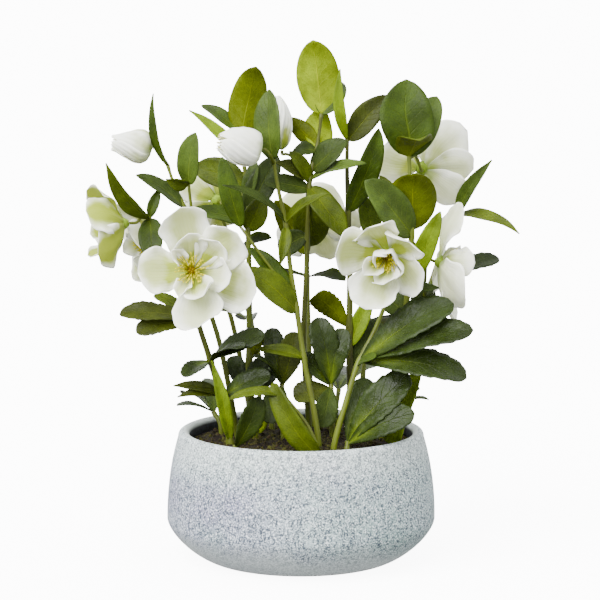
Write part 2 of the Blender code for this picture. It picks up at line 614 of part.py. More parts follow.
def merge_flat_faces(obj):
    """Dissolves the edges that a union leaves inside flat faces."""
    bm = bmesh.new()
    bm.from_mesh(obj.data)
    bmesh.ops.dissolve_limit(bm, angle_limit=math.radians(FLAT_ANGLE), verts=bm.verts, edges=bm.edges)
    bmesh.ops.triangulate(bm, faces=bm.faces)
    bm.to_mesh(obj.data)
    bm.free()


def nearest_on(routes, point):
    """The point of the stalks' middle lines that lies nearest to the given one."""
    best = None
    for route in routes:
        for start, end in zip(route, route[1:]):
            step = end - start
            t = max(0.0, min(1.0, (point - start).dot(step) / step.length_squared))
            found = start + step * t
            if best is None or (found - point).length < (best - point).length:
                best = found
    return best


def bloom_frame(facing):
    """Three directions: the way a bloom faces, its right hand and its top, as seen by someone it faces."""
    axis = Vector(facing).normalized()
    right = Vector((0, 0, 1)).cross(axis)
    if right.length < FACING_UP_LIMIT:
        right = Vector((0, 1, 0)).cross(axis)
    right.normalize()
    return axis, right, axis.cross(right)


def flower_ends(spec):
    """The places where the stalks of a stem's blooms and buds end, just short of their seats."""
    ends = []
    for flower, route in spec.get("blooms", []):
        centre, facing = BLOOMS[flower][:2]
        axis = Vector(facing).normalized()
        ends.append([*map(Vector, route), Vector(centre) - axis * (SEAT_DEPTH + STALK_END),
                     Vector(centre) - axis * (SEAT_DEPTH + TIP_GAP)])
    for flower, route in spec.get("buds", []):
        centre, pointing = BUDS[flower][:2]
        axis = Vector(pointing).normalized()
        ends.append([*map(Vector, route), Vector(centre) - axis * STALK_END / 2,
                     Vector(centre) - axis * TIP_GAP])
    ends += [[Vector(p) for p in twig] for twig in spec.get("twigs", [])]
    return ends


def plant_piece(name, spec, collection, scrap):
    """A stalk with its twigs and leaves as one solid."""
    main = stalk_route(spec)
    twigs = [smooth_route(points, 1 if len(points) > 3 else 2) for points in flower_ends(spec)]
    body = tube(name, main, spec["radii"], collection)
    for i, twig in enumerate(twigs):
        tube(f"{name}_twig_{i}", twig, (TWIG_RADIUS, TWIG_RADIUS), scrap, TWIG_SIDES)
    for i, (spring, tip, face, width, outline) in enumerate(spec["leaves"]):
        root = nearest_on([main, *twigs], Vector(spring))
        blade(f"{name}_leaf_{i}", root, Vector(tip), Vector(face), width, outline, scrap)
    look = "leaf"
    if name in GROUND_LEAVES:
        look = "fresh_leaf" if name in FRESH else "dark_leaf"
    return joined(name, body, scrap, collection, look)


def tepals(name, spec, collection, scrap):
    """A bloom's tepals in two rings, rooted in the small cone that they grow from."""
    centre, facing, opening, outer, inner = spec
    centre = Vector(centre)
    axis, right, over = bloom_frame(facing)
    seat = bmesh.new()
    bmesh.ops.create_cone(seat, cap_ends=True, segments=SEAT_SEGMENTS, radius1=SEAT_FOOT_RADIUS * MM,
                          radius2=SEAT_TOP_RADIUS * MM, depth=SEAT_DEPTH * MM)
    mesh = bpy.data.meshes.new(name)
    seat.to_mesh(mesh)
    seat.free()
    body = new_object(name, mesh, collection)
    place = Matrix((right, over, axis)).transposed().to_4x4()
    place.translation = (centre - axis * SEAT_DEPTH / 2) * MM
    body.data.transform(place)
    rings = [(outer, opening, "tepal", OUTER_TEPAL_LIFT),
             (inner, opening - INNER_CLOSER, "inner_tepal", INNER_TEPAL_LIFT)]
    for places, angle, outline, lift in rings:
        for i, (around, length, width) in enumerate(places):
            turn = math.radians(around)
            out = right * math.cos(turn) + over * math.sin(turn)
            lean = math.radians(angle + TEPAL_STAGGER * (2 * i % RING_COUNT - 2))
            way = out * math.sin(lean) + axis * math.cos(lean)
            face = axis * math.sin(lean) - out * math.cos(lean)
            root = centre + out * TEPAL_ROOT_RADIUS + axis * lift
            blade(f"{name}_{outline}_{i}", root, root + way * length, face, width, outline, scrap,
                  twist=TEPAL_TWIST)
    return joined(name, body, scrap, collection, "tepal")


def stamens(name, spec, collection, scrap):
    """A bloom's stamens, on the low dome in its middle."""
    centre = Vector(spec[0])
    axis, right, over = bloom_frame(spec[1])
    dome = bmesh.new()
    bmesh.ops.create_uvsphere(dome, u_segments=6, v_segments=3, radius=1.0)
    mesh = bpy.data.meshes.new(name)
    dome.to_mesh(mesh)
    dome.free()
    body = new_object(name, mesh, collection)
    frame = Matrix((right, over, axis)).transposed().to_4x4()
    size = Matrix.Diagonal((DOME_RADIUS * MM, DOME_RADIUS * MM, DOME_HALF_HEIGHT * MM, 1.0))
    place = frame @ size
    place.translation = (centre + axis * (DOME_HALF_HEIGHT + TIP_GAP)) * MM
    body.data.transform(place)
    spread = spec[2] - INNER_CLOSER - 2 * TEPAL_STAGGER - STAMEN_CLEARANCE
    golden = math.pi * (3 - math.sqrt(5))
    for i in range(STAMEN_COUNT):
        share = (i + 0.5) / STAMEN_COUNT
        lean = math.radians(STAMEN_LEAN + spread * math.sqrt(share))
        around = i * golden
        out = right * math.cos(around) + over * math.sin(around)
        way = out * math.sin(lean) + axis * math.cos(lean)
        length = STAMEN_LENGTH * (STAMEN_SHORTEST_SHARE + (1 - STAMEN_SHORTEST_SHARE) * share)
        root = centre + axis * (DOME_RADIUS + TIP_GAP) + out * STAMEN_RING_RADIUS * math.sqrt(share)
        rod = bmesh.new()
        bmesh.ops.create_cone(rod, cap_ends=True, segments=3, radius1=STAMEN_FOOT_RADIUS * MM,
                              radius2=STAMEN_TIP_RADIUS * MM, depth=length * MM)
        turned = way.to_track_quat("Z", "Y").to_matrix().to_4x4()
        turned.translation = (root + way * length / 2) * MM
        bmesh.ops.transform(rod, matrix=turned, verts=rod.verts)
        rod_mesh = bpy.data.meshes.new(f"{name}_{i}")
        rod.to_mesh(rod_mesh)
        rod.free()
        new_object(f"{name}_{i}", rod_mesh, scrap)
    return joined(name, body, scrap, collection, "stamen")


def bud(name, spec, collection):
    """A closed bud: an egg whose overlapping tepals are raised from it by a formula."""
    centre, pointing, length, width = spec
    axis, right, over = bloom_frame(pointing)
    bm = bmesh.new()
    bmesh.ops.create_uvsphere(bm, u_segments=BUD_SEGMENTS, v_segments=BUD_RINGS, radius=1.0)
    for vert in bm.verts:
        around = math.atan2(vert.co.y, vert.co.x)
        share = (vert.co.z + 1) / 2
        swell = (1 - share) ** BUD_TAPER_POWER * math.sin(math.acos(max(-1.0, min(1.0, vert.co.z))))
        wrap = (around / (2 * math.pi) * RING_COUNT + share * BUD_WIND) % 1.0
        radius = width / 2 * swell * BUD_FULLNESS * (1 + BUD_FURROW * (wrap - 0.5))
        out = right * math.cos(around) + over * math.sin(around)
        vert.co = (Vector(centre) + out * radius + axis * length * share) * MM
    mesh = bpy.data.meshes.new(name)
    bm.to_mesh(mesh)
    bm.free()
    obj = new_object(name, mesh, collection)
    obj.data.materials.append(material("tepal"))
    return obj


def bowl_outline():
    """The bowl's outer outline from foot to lip, as radius and height."""
    points = []
    rise = BOWL_HEIGHT - BOWL_LIP_HEIGHT - BOWL_WIDEST_HEIGHT
    for share in BOWL_BELLY_STATIONS:
        reach = (1 - (1 - share) ** BOWL_BELLY_POWER) ** (1 / BOWL_BELLY_ROOT)
        radius = BOWL_FOOT_RADIUS + (BOWL_WIDEST_RADIUS - BOWL_FOOT_RADIUS) * reach
        points.append((radius, BOWL_WIDEST_HEIGHT * share))
    for i in range(1, BOWL_SIDE_STEPS + 1):
        share = i / BOWL_SIDE_STEPS
        pull = (BOWL_WIDEST_RADIUS - BOWL_LIP_OUTER_RADIUS) * share**BOWL_SIDE_POWER
        points.append((BOWL_WIDEST_RADIUS - pull, BOWL_WIDEST_HEIGHT + rise * share))
    return points


def turned(name, outline, segments, collection):
    """A solid turned about Z from an outline of radii and heights that runs down its outer side."""
    mesh = bpy.data.meshes.new(name)
    verts = [(radius * MM, 0.0, height * MM) for radius, height in outline]
    mesh.from_pydata(verts, [(i, i + 1) for i in range(len(verts) - 1)], [])
    obj = new_object(name, mesh, collection)
    screw = obj.modifiers.new("turn", "SCREW")
    screw.steps = segments
    screw.render_steps = segments
    screw.use_merge_vertices = True
    screw.merge_threshold = WELD
    return applied(obj, collection)


def inner_outline(gap):
    """The bowl's inside from just under the lip to the middle of the floor, drawn in by a gap."""
    lip = BOWL_LIP_OUTER_RADIUS - BOWL_WALL - gap
    widest = BOWL_WIDEST_RADIUS - BOWL_WALL - gap
    floor = BOWL_FLOOR + gap
    points = []
    for i in range(HOLLOW_SIDE_STEPS + 1):
        share = i / HOLLOW_SIDE_STEPS
        height = HOLLOW_TOP_HEIGHT * (1 - share) + HOLLOW_WIDEST_HEIGHT * share
        points.append((lip + (widest - lip) * math.sin(math.pi / 2 * share) ** HOLLOW_SIDE_POWER, height))
    for i in range(1, HOLLOW_TURN_STEPS + 1):
        a = math.pi / 2 * i / HOLLOW_TURN_STEPS
        reach = (widest - HOLLOW_FLOOR_RADIUS) * math.cos(a)
        height = floor + (HOLLOW_WIDEST_HEIGHT - floor) * (1 - math.sin(a))
        points.append((HOLLOW_FLOOR_RADIUS + reach, height))
    return [*points, (0.0, floor)]


def make_bowl(collection):
    outer = list(reversed(bowl_outline()))
    lip = []
    middle = BOWL_LIP_OUTER_RADIUS - BOWL_WALL / 2
    for i in range(1, BOWL_LIP_STEPS):
        a = math.pi * i / BOWL_LIP_STEPS
        height = BOWL_HEIGHT - BOWL_LIP_HEIGHT * (1 - math.sin(a))
        lip.append((middle - BOWL_WALL / 2 * math.cos(a), height))
    outline = [*reversed(inner_outline(0.0)), *lip, *outer, (0.0, 0.0)]
    bowl = turned("bowl", outline, BOWL_SEGMENTS, collection)
    bowl.data.materials.append(material("stoneware"))
    return bowl


def soil_height(x, y):
    """The mound's height at a place, with clods as a sum of waves."""
    share = min(1.0, math.hypot(x, y) / (BOWL_LIP_OUTER_RADIUS - BOWL_WALL))
    long = math.sin(CLOD_LONG[0] * x + CLOD_SHIFT) * math.cos(CLOD_LONG[1] * y)
    short = CLOD_SHORT_SHARE * math.sin(CLOD_SHORT[1] * y - CLOD_SHORT[0] * x)
    clods = CLOD_RISE * (long + short) * (1 - share**CLOD_FADE)
    return SOIL_EDGE_HEIGHT + SOIL_MOUND * (1 - share**2) ** SOIL_MOUND_POWER + clods


def make_soil(collection, cutters):
    inside = [p for p in inner_outline(SOIL_GAP) if p[1] < SOIL_EDGE_HEIGHT]
    rim = BOWL_LIP_OUTER_RADIUS - BOWL_WALL - SOIL_GAP
    rings = [(rim * share, SOIL_EDGE_HEIGHT) for share in SOIL_RINGS]
    edge = (rim + SOIL_EDGE_ROUND, SOIL_EDGE_HEIGHT - SOIL_EDGE_ROUND)
    soil = turned("soil", [*rings, edge, *inside], BOWL_SEGMENTS, collection)
    for vert in soil.data.vertices:
        if vert.co.z > (SOIL_EDGE_HEIGHT - SOIL_EDGE_ROUND / 2) * MM:
            vert.co.z = soil_height(vert.co.x / MM, vert.co.y / MM) * MM
    cut = soil.modifiers.new("holes", "BOOLEAN")
    cut.operation = "DIFFERENCE"
    cut.operand_type = "COLLECTION"
    cut.collection = cutters
    cut.solver = "MANIFOLD"
    soil = applied(soil, collection, weld=False)
    for cutter in list(cutters.objects):
        bpy.data.objects.remove(cutter, do_unlink=True)
    soil.data.materials.append(material("soil"))
    return soil


def make_holes(cutters):
    """A plain hole in the soil for each stalk: its own foot, a little wider and a little deeper."""
    for name, spec in {**LEAFY_STEMS, **GROUND_LEAVES}.items():
        main = stalk_route(spec)
        low = [p for p in main if p.z < HOLE_TOP_HEIGHT]
        low.append(main[len(low)] if len(low) < len(main) else low[-1] + (low[-1] - low[-2]))
        low[0] = low[0] + (low[0] - low[1]).normalized() * HOLE_DEEPER
        wide = spec["radii"][0] / math.cos(math.pi / STALK_SIDES) + HOLE_GAP
        tube(f"{name}_hole", low, (wide, wide), cutters)
    for cutter in cutters.objects:
        cutter.hide_render = True
        cutter.display_type = "WIRE"


def main():
    clear_scene()
    hellebore = new_collection("potted_hellebore")
    scrap = new_collection("pieces_to_join")
    cutters = new_collection("cutters")
    make_bowl(hellebore)
    make_holes(cutters)
    make_soil(hellebore, cutters)
    for name, spec in {**LEAFY_STEMS, **GROUND_LEAVES}.items():
        plant_piece(name, spec, hellebore, scrap)
    for name, spec in BLOOMS.items():
        tepals(f"tepals_{name}", spec, hellebore, scrap)
        stamens(f"stamens_{name}", spec, hellebore, scrap)
    for name, spec in BUDS.items():
        bud(f"bud_{name}", spec, hellebore)
    for obj in hellebore.objects:
        obj.data.shade_smooth()
        obj.data.set_sharp_from_angle(angle=math.radians(SHARP_ANGLE))
    for collection in (scrap, cutters):
        bpy.data.collections.remove(collection)


main()
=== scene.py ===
"""Potted hellebore: the fine surfaces of its bowl, soil, stems, leaves and flowers, and the stage.

The tables of places are in millimetres, as in the part's source, and Blender's own units are metres.
"""

import math
import random

import bmesh
import bpy
import numpy as np
from bpy.props import FloatProperty, FloatVectorProperty, IntProperty, PointerProperty
from mathutils import Euler, Matrix, Vector, noise


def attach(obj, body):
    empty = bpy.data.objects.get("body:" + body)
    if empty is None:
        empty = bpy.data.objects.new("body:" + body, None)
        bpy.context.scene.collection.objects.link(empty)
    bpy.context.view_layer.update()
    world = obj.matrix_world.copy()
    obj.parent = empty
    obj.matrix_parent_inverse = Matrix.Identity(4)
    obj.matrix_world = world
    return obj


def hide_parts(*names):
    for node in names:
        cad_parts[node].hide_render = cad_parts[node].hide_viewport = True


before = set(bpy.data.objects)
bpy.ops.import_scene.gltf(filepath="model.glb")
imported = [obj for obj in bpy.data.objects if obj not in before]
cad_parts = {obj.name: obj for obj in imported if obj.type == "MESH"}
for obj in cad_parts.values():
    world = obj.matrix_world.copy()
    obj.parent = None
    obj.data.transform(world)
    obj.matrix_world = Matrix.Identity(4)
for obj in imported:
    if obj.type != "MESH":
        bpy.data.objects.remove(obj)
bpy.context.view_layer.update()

bl_info = {
    "name": "Potted hellebore",
    "version": (1, 0, 0),
    "blender": (4, 5, 0),
    "location": "View3D > Sidebar > Hellebore",
    "description": "Builds the visible surfaces of a hellebore in a stoneware bowl",
    "category": "Add Mesh",
}

MM = 0.001
WELD = 0.000002
GOLDEN_ANGLE = math.pi * (3 - math.sqrt(5))

# Bowl and soil, as in the part
BOWL_FOOT_RADIUS = 68.0
BOWL_WIDEST_RADIUS = 100.0
BOWL_WIDEST_HEIGHT = 30.0
BOWL_HEIGHT = 96.0
BOWL_LIP_OUTER_RADIUS = 91.5
BOWL_LIP_HEIGHT = 4.5
BOWL_WALL = 8.5
BOWL_FLOOR = 9.0
HOLLOW_TOP_HEIGHT = 88.0
HOLLOW_WIDEST_HEIGHT = 40.0
HOLLOW_FLOOR_RADIUS = 60.0
SOIL_GAP = 0.35
SOIL_EDGE_HEIGHT = 86.0
SOIL_MOUND = 6.0

# The bowl's outline: how many steps each stretch of it has, the powers that it bends by, and how far its
# outside is from true
HOLLOW_STEPS = 12
WALL_STEPS = 12
LIP_STEPS = 14
SIDE_STEPS = 18
BELLY_STEPS = 24
WALL_CURVE = 0.9
LIP_CURVE = 0.8
SIDE_CURVE = 2.1
BELLY_CURVE = 1.5
BELLY_FULLNESS = 1.3
BELLY_CLOSER = 1.6
FOOT_FLAT = 0.96
WOBBLE = 0.0016
WOBBLE_SIZE = 34
WOBBLE_FROM = 0.0885
INWARDS_FROM = 0.012

# Where the glaze is worn, and where the inner wall's painted shade gives way to painted light at its top, in
# metres
WORN_RADII = (0.0858, 0.0840)
WORN_HEIGHTS = (0.0900, 0.0925)
LIT_WALL = (0.0915, 0.0950)

# The soil's mesh, and how crumbs and fibres lie on it
SOIL_RINGS = 76
SOIL_SEGMENTS = 168
CRUMB_MARGIN = 2.5
CRUMB_SIZES = (0.4, 1.5)
BIG_CRUMB_SIZES = (1.4, 2.4)
GRIT_SIZES = (0.7, 1.2)
SMALL_CRUMBS = 0.85
CRUMB_DENTS = 0.12
FIBRE_LENGTHS = (3.0, 10.0)
FIBRE_BENDS = (-0.9, 0.9)
FIBRE_MARGIN = 7
FIBRE_STEPS = 5
FIBRE_RADIUS = 0.17
FIBRE_LIFT = 0.3
FIBRE_ARCH = 1.6
GRIT_EVERY = 190
FULL_TURN = 6.28
THIRD_TURN = 2.0944

# Flowers, as in the part
SEAT_DEPTH = 4.6
SEAT_FOOT_RADIUS = 2.2
SEAT_TOP_RADIUS = 5.4
STALK_END = 6.0
TIP_GAP = 0.3
INNER_CLOSER = 24.0
TEPAL_STAGGER = 4.0
TEPAL_ROOT_RADIUS = 2.6
RING_COUNT = 5
SMALL_TEPAL = 24.0
TEPAL_LEAN_LUCK = 2.5
TEPAL_TWIST = 16.0
WIDE_FOLD = (12.0, 22.0)
TIGHT_FOLD = (34.0, 48.0)
STEM_PIECES = 7
TWIG_PIECES = 5
TWIG_RADII = (1.15, 1.1)
FOOT_SHADE = 0.8
STEM_SHADE = 0.3
LEAF_TONES = (0.90, 1.12)
VEIN_STRENGTHS = (0.15, 0.5)
TEPAL_GREENS = (0.8, 1.1)
BLOOM_GREEN = 1.2
BUD_GREEN = 0.9
NODE_SWELL = 0.30
NODE_REACH = 3.0
THREAD_RADIUS = 0.021
ANTHER_RADIUS = 0.046
STAMEN_WIDTH_AT = 12.0
HEART_RADII = (3.0, 3.0, 2.6)
HEART_LIFT = 1.8
CARPELS = 4
CARPEL_FOOT_RADIUS = 0.9
CARPEL_TIP_RADIUS = 0.2
CARPEL_LENGTH = 6.5
CARPEL_LEAN = 0.25
CARPEL_LIFT = 4.4
CARPEL_OUT = 1.1
BUD_STAMENS = 12
BUD_COVER = 0.66
BUD_TONE = (0.80, 0.0, 0.0)
BUD_CORE_TONE = (0.66, 0.70, 0.40)
OPENING = ("centre",)

# The stage
FLOOR_HEIGHT = -0.0002
CAMERA_LENS = 155.4
CAMERA_SENSOR = 36.0
CAMERA_SHIFT = -1 / 600
KEY_PLACE = (-1.1, -1.5, 1.6)
KEY_ANGLE = 0.9
HORIZON = 0.35
SKY_COLOUR = (0.97, 0.985, 1.0, 1.0)

# How a blade's half width runs from root to tip, as powers of the distance from the root and from the
# tip, how far it bows out as a share of its length, and how far its halves fold up, in degrees
BLADES = {
    "bract": (0.60, 0.68, 0.07, 14.0),
    "narrow": (0.80, 1.05, 0.10, 26.0),
    "lobe": (0.95, 0.48, 0.09, 12.0),
    "strap": (0.30, 0.45, 0.12, 12.0),
    "tepal": (0.86, 0.46, -0.12, 10.0),
    "inner_tepal": (0.90, 0.48, -0.12, 12.0),
}
# How a cut leaf's teeth are set, and how a tepal's notches, frill and pleats repeat along and across it
TOOTH_LAG = 0.3
TOOTH_BASE = 0.45
NOTCH_RATE = 2.6
NOTCH_LAG = 1.3
FRILL_RATE = 4.3
FRILL_SHARE = 0.9
PLEATS = 2.5
SWING_RATE = 1.3

# How many faces a blade has across and along
GRIDS = {
    "bract": (8, 18),
    "narrow": (6, 18),
    "lobe": (8, 44),
    "strap": (6, 24),
    "tepal": (18, 22),
    "inner_tepal": (14, 18),
}

# Each leafy stem: its route, its radius at foot and top, its side twigs, and a row for each of its leaves:
# where it springs, its tip, the way its upper face looks, its width, its outline and its tone
# Leaves deep in the plant take the dark tone, which partly paints the shade among them
LEAFY_STEMS = {
    "stem_left_front": {
        "route": [(-50, -28, 66), (-52, -28, 92), (-58, -28, 122), (-66, -32, 152), (-76, -38, 186),
                  (-80, -41, 208)],
        "radii": (2.7, 1.6),
        "blooms": [("front_left", [(-80, -41, 208), (-80.5, -48, 220)])],
        "leaves": """
        -75 -37 182  -131 -50 190     0 -0.65 0.75  19 lobe moss
        -75 -37 182  -119 -53 177     0 -0.65 0.75  17 lobe moss
        -75 -37 182  -107 -30 201     0 -0.65 0.75  11 lobe olive
        -65 -32 152   -26 -58 175  -0.3  -0.6  0.7  19 lobe basal
        -65 -32 152   -41 -66 168     0  -0.5 0.85  17 lobe basal
        -65 -32 152   -85 -53 144  -0.2  -0.6  0.7  15 lobe basal
        -59 -28 126   -93 -38 135     0  -0.6  0.8  11 narrow moss
        -59 -28 126   -90 -42 128     0  -0.6  0.8  10 narrow moss
        -59 -28 124   -22 -42 144   0.1 -0.75 0.65  17 lobe basal
        -53 -28  91   -65 -37 154   0.2 -0.95  0.2  11 narrow fresh
        """,
    },
    "stem_left": {
        "route": [(-44, -12, 66), (-47, -13, 92), (-54, -16, 135), (-63, -18, 175), (-78, -18, 212),
                  (-97, -14, 240), (-112, -14, 256)],
        "radii": (2.3, 1.3),
        "blooms": [("far_left", [(-110, -14, 254), (-116, -17, 257)]),
                   ("left_inner", [(-82, -17, 219), (-92, 4, 230)])],
        "leaves": """
        -111 -14 255  -140 -50 298  -0.4 -0.9 0.1  15 narrow olive
        -111 -14 255  -106 -38 226  -0.1 -0.9 0.4  19 bract dark
        -111 -14 255  -104  -8 277     0   -1   0   9 narrow mid
        """,
    },
    "stem_left_bud": {
        "route": [(-34, 8, 66), (-36, 8, 92), (-42, 6, 130), (-52, 2, 180), (-66, -2, 220), (-78, -4, 246),
                  (-86, -4, 263), (-94, -2, 281), (-98, 0, 293)],
        "radii": (2.1, 1.1),
        "twigs": [[(-72, -3, 234), (-79, -14, 256), (-82, -18, 281)]],
        "buds": [("left", [(-97.5, 0, 292), (-101, 0, 298)])],
        "leaves": """
        -97   0 292  -108  -8 346  -0.7  -0.7    0  10 narrow mid
        -82 -18 280   -77 -28 319  -0.4 -0.85  0.3  20 bract blue
        -82 -18 281   -98 -28 285   0.2  -0.8 -0.5  12 narrow olive
        -86  -4 262  -120 -14 288   0.2  -0.7  0.7  14 bract dark
        """,
    },
    "stem_mid_left": {
        "route": [(-32, -8, 66), (-34, -10, 92), (-38, -12, 130), (-38, -14, 170), (-38, -16, 212),
                  (-39, -14, 252), (-41, -8, 285), (-43, -6, 316)],
        "radii": (2.9, 1.3),
        "leaves": """
        -41  -9 280  -79   2 292   0.1 -0.9  0.4  23 bract olive
        -39 -14 250  -80 -22 262     0 -0.6  0.8  16 bract mid
        -40 -11 268  -33  -6 297  -0.3 -0.9  0.3  12 bract blue
        -39 -13 257  -17  -4 301  -0.1 -0.9  0.2  22 bract dark
        -39 -14 246  -28 -22 272   0.2 -0.9  0.2  18 bract olive
        -43  -6 315  -33 -10 367  -0.2 0.95  0.1  28 bract olive
        -43  -6 315  -73   2 338     0 -0.5 0.85  12 bract mid
        -42  -8 297  -81 -16 335  -0.1 -0.8  0.6  11 narrow fresh
        -38 -12 122  -27 -23 153     0 -0.8  0.6  16 lobe basal
        -38 -12 122  -52  -4 152     0 -0.9  0.4  15 lobe basal
        -38 -12 127  -19 -18 141     0 -0.8  0.6  15 lobe basal
        -38 -13 150  -28 -24 170     0  0.9  0.4   9 bract olive
        -35 -10  95  -25 -24 117   0.3  0.9  0.2  12 strap fresh
        """,
    },
    "stem_centre_front": {
        "route": [(12, -42, 66), (13, -42, 92), (8, -40, 125), (3, -38, 150), (-3, -35, 190), (-8, -32, 223),
                  (-11, -30, 253), (-16, -31, 276), (-20, -32, 300)],
        "radii": (2.3, 1.2),
        "buds": [("centre", [(-20, -32, 297), (-22, -41, 303)])],
        "twigs": [[(-5, -34, 200), (-19, -35, 217), (-44, -32, 251)]],
        "leaves": """
        -44 -32 250  -57 -37 302  -0.2 -0.95 0.2  16 bract mid
          2 -37 155  -33 -43 163     0  -0.7 0.7  11 narrow olive
        -20 -32 299  -23 -26 350  -0.5  -0.8 0.2  23 bract blue
        -11 -30 253  -56 -52 283   0.3  -0.5 0.8  11 narrow dark
        -11 -30 253   20 -46 277  -0.3  -0.6 0.6  11 narrow olive
        -11 -30 251  -15 -42 224   0.1    -1   0  10 narrow olive
         -4 -34 189  -41 -48 223   0.3 -0.85 0.4  22 bract olive
         -5 -34 197  -38 -28 236   0.5  -0.8 0.3  17 bract mid
        """,
    },
    "stem_centre_tall": {
        "route": [(5, 0, 66), (6, -3, 95), (2, -5, 160), (4, -8, 216), (6, -10, 279), (12, -2, 308),
                  (15, 0, 331)],
        "radii": (2.3, 1.2),
        "buds": [("behind", [(8, -7, 290), (-4, -2, 298), (-10, 0, 301)])],
        "leaves": """
        15   0 330    9  -5 386  0.1  0.95  0.1  33 bract fresh
        15   0 330   30  16 354    0  -0.7  0.7  22 bract mid
        12  -1 306   15  12 334    0  0.95 -0.2  22 bract fresh
        12  -1 306  -10  12 327    0   0.9  0.3  15 bract olive
         6 -10 283   47 -28 297    0  -0.5 0.85  14 bract blue
         6 -10 282   -8 -22 305  0.2  -0.8  0.5  12 bract olive
         6 -10 284  -19 -16 297  0.1  -0.9  0.4  14 narrow moss
         6 -10 276  -27 -18 282    0  -0.8  0.5  16 bract dark
        11  -3 304   -8  -7 302    0  -0.8  0.6  13 narrow dark
         5  -9 242  -18   6 229    0  -0.9  0.3  18 bract dark
         8  -7 290   34 -14 312    0  -0.8  0.6  21 bract dark
         6 -10 278   32 -22 242  0.4 -0.85  0.3  22 bract olive
         6  -9 272    8  10 230    0 -0.95 -0.2  27 bract olive
        """,
    },
    "stem_mid_right": {
        "route": [(34, 4, 66), (37, 2, 95), (36, 0, 163), (36, 0, 223), (34, 2, 282), (34, 2, 312)],
        "radii": (2.9, 1.3),
        "leaves": """
        34 2 311  28 -12 364  -0.4 -0.9   0  10 narrow fresh
        34 2 311  64   2 344   0.1 -0.9 0.4  20 bract moss
        36 1 258  57 -18 321   0.4 -0.9 0.1  20 bract mid
        36 0 158  52   6 196   0.1 -0.9 0.3  13 bract fresh
        36 0 172   9 -14 199     0  0.9 0.4  19 lobe olive
        36 0 140  58  14 176     0 -0.9 0.4  18 lobe dark
        """,
    },
    "stem_front_right": {
        "route": [(22, -51, 66), (24, -51, 93), (33, -48, 126), (41, -43, 151), (54, -34, 176),
                  (64, -28, 200)],
        "radii": (2.3, 1.5),
        "blooms": [("front_right", [(64, -28, 200), (66, -32, 216)])],
        "leaves": """
        43 -42 153  109 -62 200  -0.3  -0.8  0.5  29 lobe basal
        43 -42 153  123 -70 181  -0.2 -0.75 0.65  26 lobe basal
        43 -42 153  119 -74 149     0 -0.75 0.65  27 lobe basal
        41 -43 150   54 -60 160     0  -0.7  0.7   9 lobe mid
        """,
    },
    "stem_right_tall": {
        "route": [(57, -6, 66), (60, -7, 92), (68, -10, 135), (76, -12, 180), (80, -13, 220), (81, -13, 246),
                  (80, -12, 275), (79, -10, 301)],
        "radii": (2.6, 1.4),
        "blooms": [("back_right", [(79, -10, 299), (84, 4, 300)])],
        "leaves": """
        81 -13 246   82 -30 291    0  0.95  0.2  37 bract olive
        81 -13 242   47 -34 285  0.3 -0.85  0.4  29 bract blue
        81 -13 246   58  -4 286    0  -0.9  0.3  13 bract olive
        81 -13 240   86 -40 211  0.1  -0.6 -0.7  17 bract olive
        79 -13 208  101 -32 262  0.1 -0.95  0.2  16 bract fresh
        77 -12 184   59  -4 200    0  -0.9  0.4  20 bract dark
        79 -13 200  101 -21 205    0  -0.8  0.5  10 narrow dark
        79 -10 300   77  -8 357    0 -0.98  0.2  41 bract mid
        79 -10 300   85 -44 318    0  -0.4  0.9  28 bract olive
        79 -10 300  100   6 344  0.1  -0.9  0.3  24 bract blue
        """,
    },
    "stem_right": {
        "route": [(63, 12, 66), (66, 12, 95), (78, 17, 140), (91, 27, 180), (102, 34, 215), (111, 35, 238),
                  (117, 32, 253)],
        "radii": (2.4, 1.3),
        "blooms": [("right", [(91, 27, 181), (92, 17, 193), (92, 5, 206)])],
        "leaves": """
        117 32 252  141 12 296  -0.3 -0.85  0.4  12 narrow blue
        117 32 252  162  4 243     0  -0.5 0.85  15 narrow olive
         98 31 202  150 50 218     0  -0.7  0.7  15 lobe basal
         84 20 158   95 20 200     0 -0.95  0.3  21 lobe basal
        """,
    },
    "stem_back_left": {
        "route": [(-20, 24, 66), (-22, 28, 95), (-33, 38, 150), (-45, 46, 198), (-55, 51, 236)],
        "radii": (2.3, 1.3),
        "blooms": [("back_left", [(-54, 50, 234), (-60, 50, 250)])],
        "leaves": """
        -51 49 218  -90 66 226  -0.3 0.4 0.9  20 bract blue
        -51 49 218  -66 92 218     0 0.4 0.9  21 bract olive
        -51 49 218  -24 82 232  -0.2 0.6 0.7  21 bract mid
        -38 41 170  -72 66 176     0 0.3 0.9  18 lobe olive
        -38 41 170  -44 88 166     0 0.3 0.9  17 lobe basal
        """,
    },
    "stem_back_centre": {
        "route": [(8, 30, 66), (8, 33, 95), (6, 42, 150), (5, 52, 196), (5, 58, 222)],
        "radii": (2.4, 1.3),
        "blooms": [("back_centre", [(5, 58, 220), (7, 60, 232)])],
        "leaves": """
        5 54 203  -28 84 200  0 0.4 0.9  20 bract mid
        5 54 203   34 88 196  0 0.4 0.9  21 bract blue
        5 58 220  -20 56 262  0 0.9 0.3  19 bract olive
        """,
    },
    "stem_back_right": {
        "route": [(42, 32, 66), (44, 36, 95), (49, 46, 150), (54, 58, 198), (57, 66, 228)],
        "radii": (2.3, 1.2),
        "buds": [("back", [(57, 66, 226), (56, 71, 234)])],
        "leaves": """
        56 65 223  90  84 222   0.2  0.3 0.9  19 bract olive
        56 65 223  46 104 220  -0.2  0.5 0.8  20 bract mid
        57 66 227  48  52 266     0 0.95 0.2  17 bract blue
        51 50 170  88  74 164     0  0.3 0.9  18 lobe basal
        51 50 170  62  96 158     0  0.3 0.9  18 lobe olive
        """,
    },
}

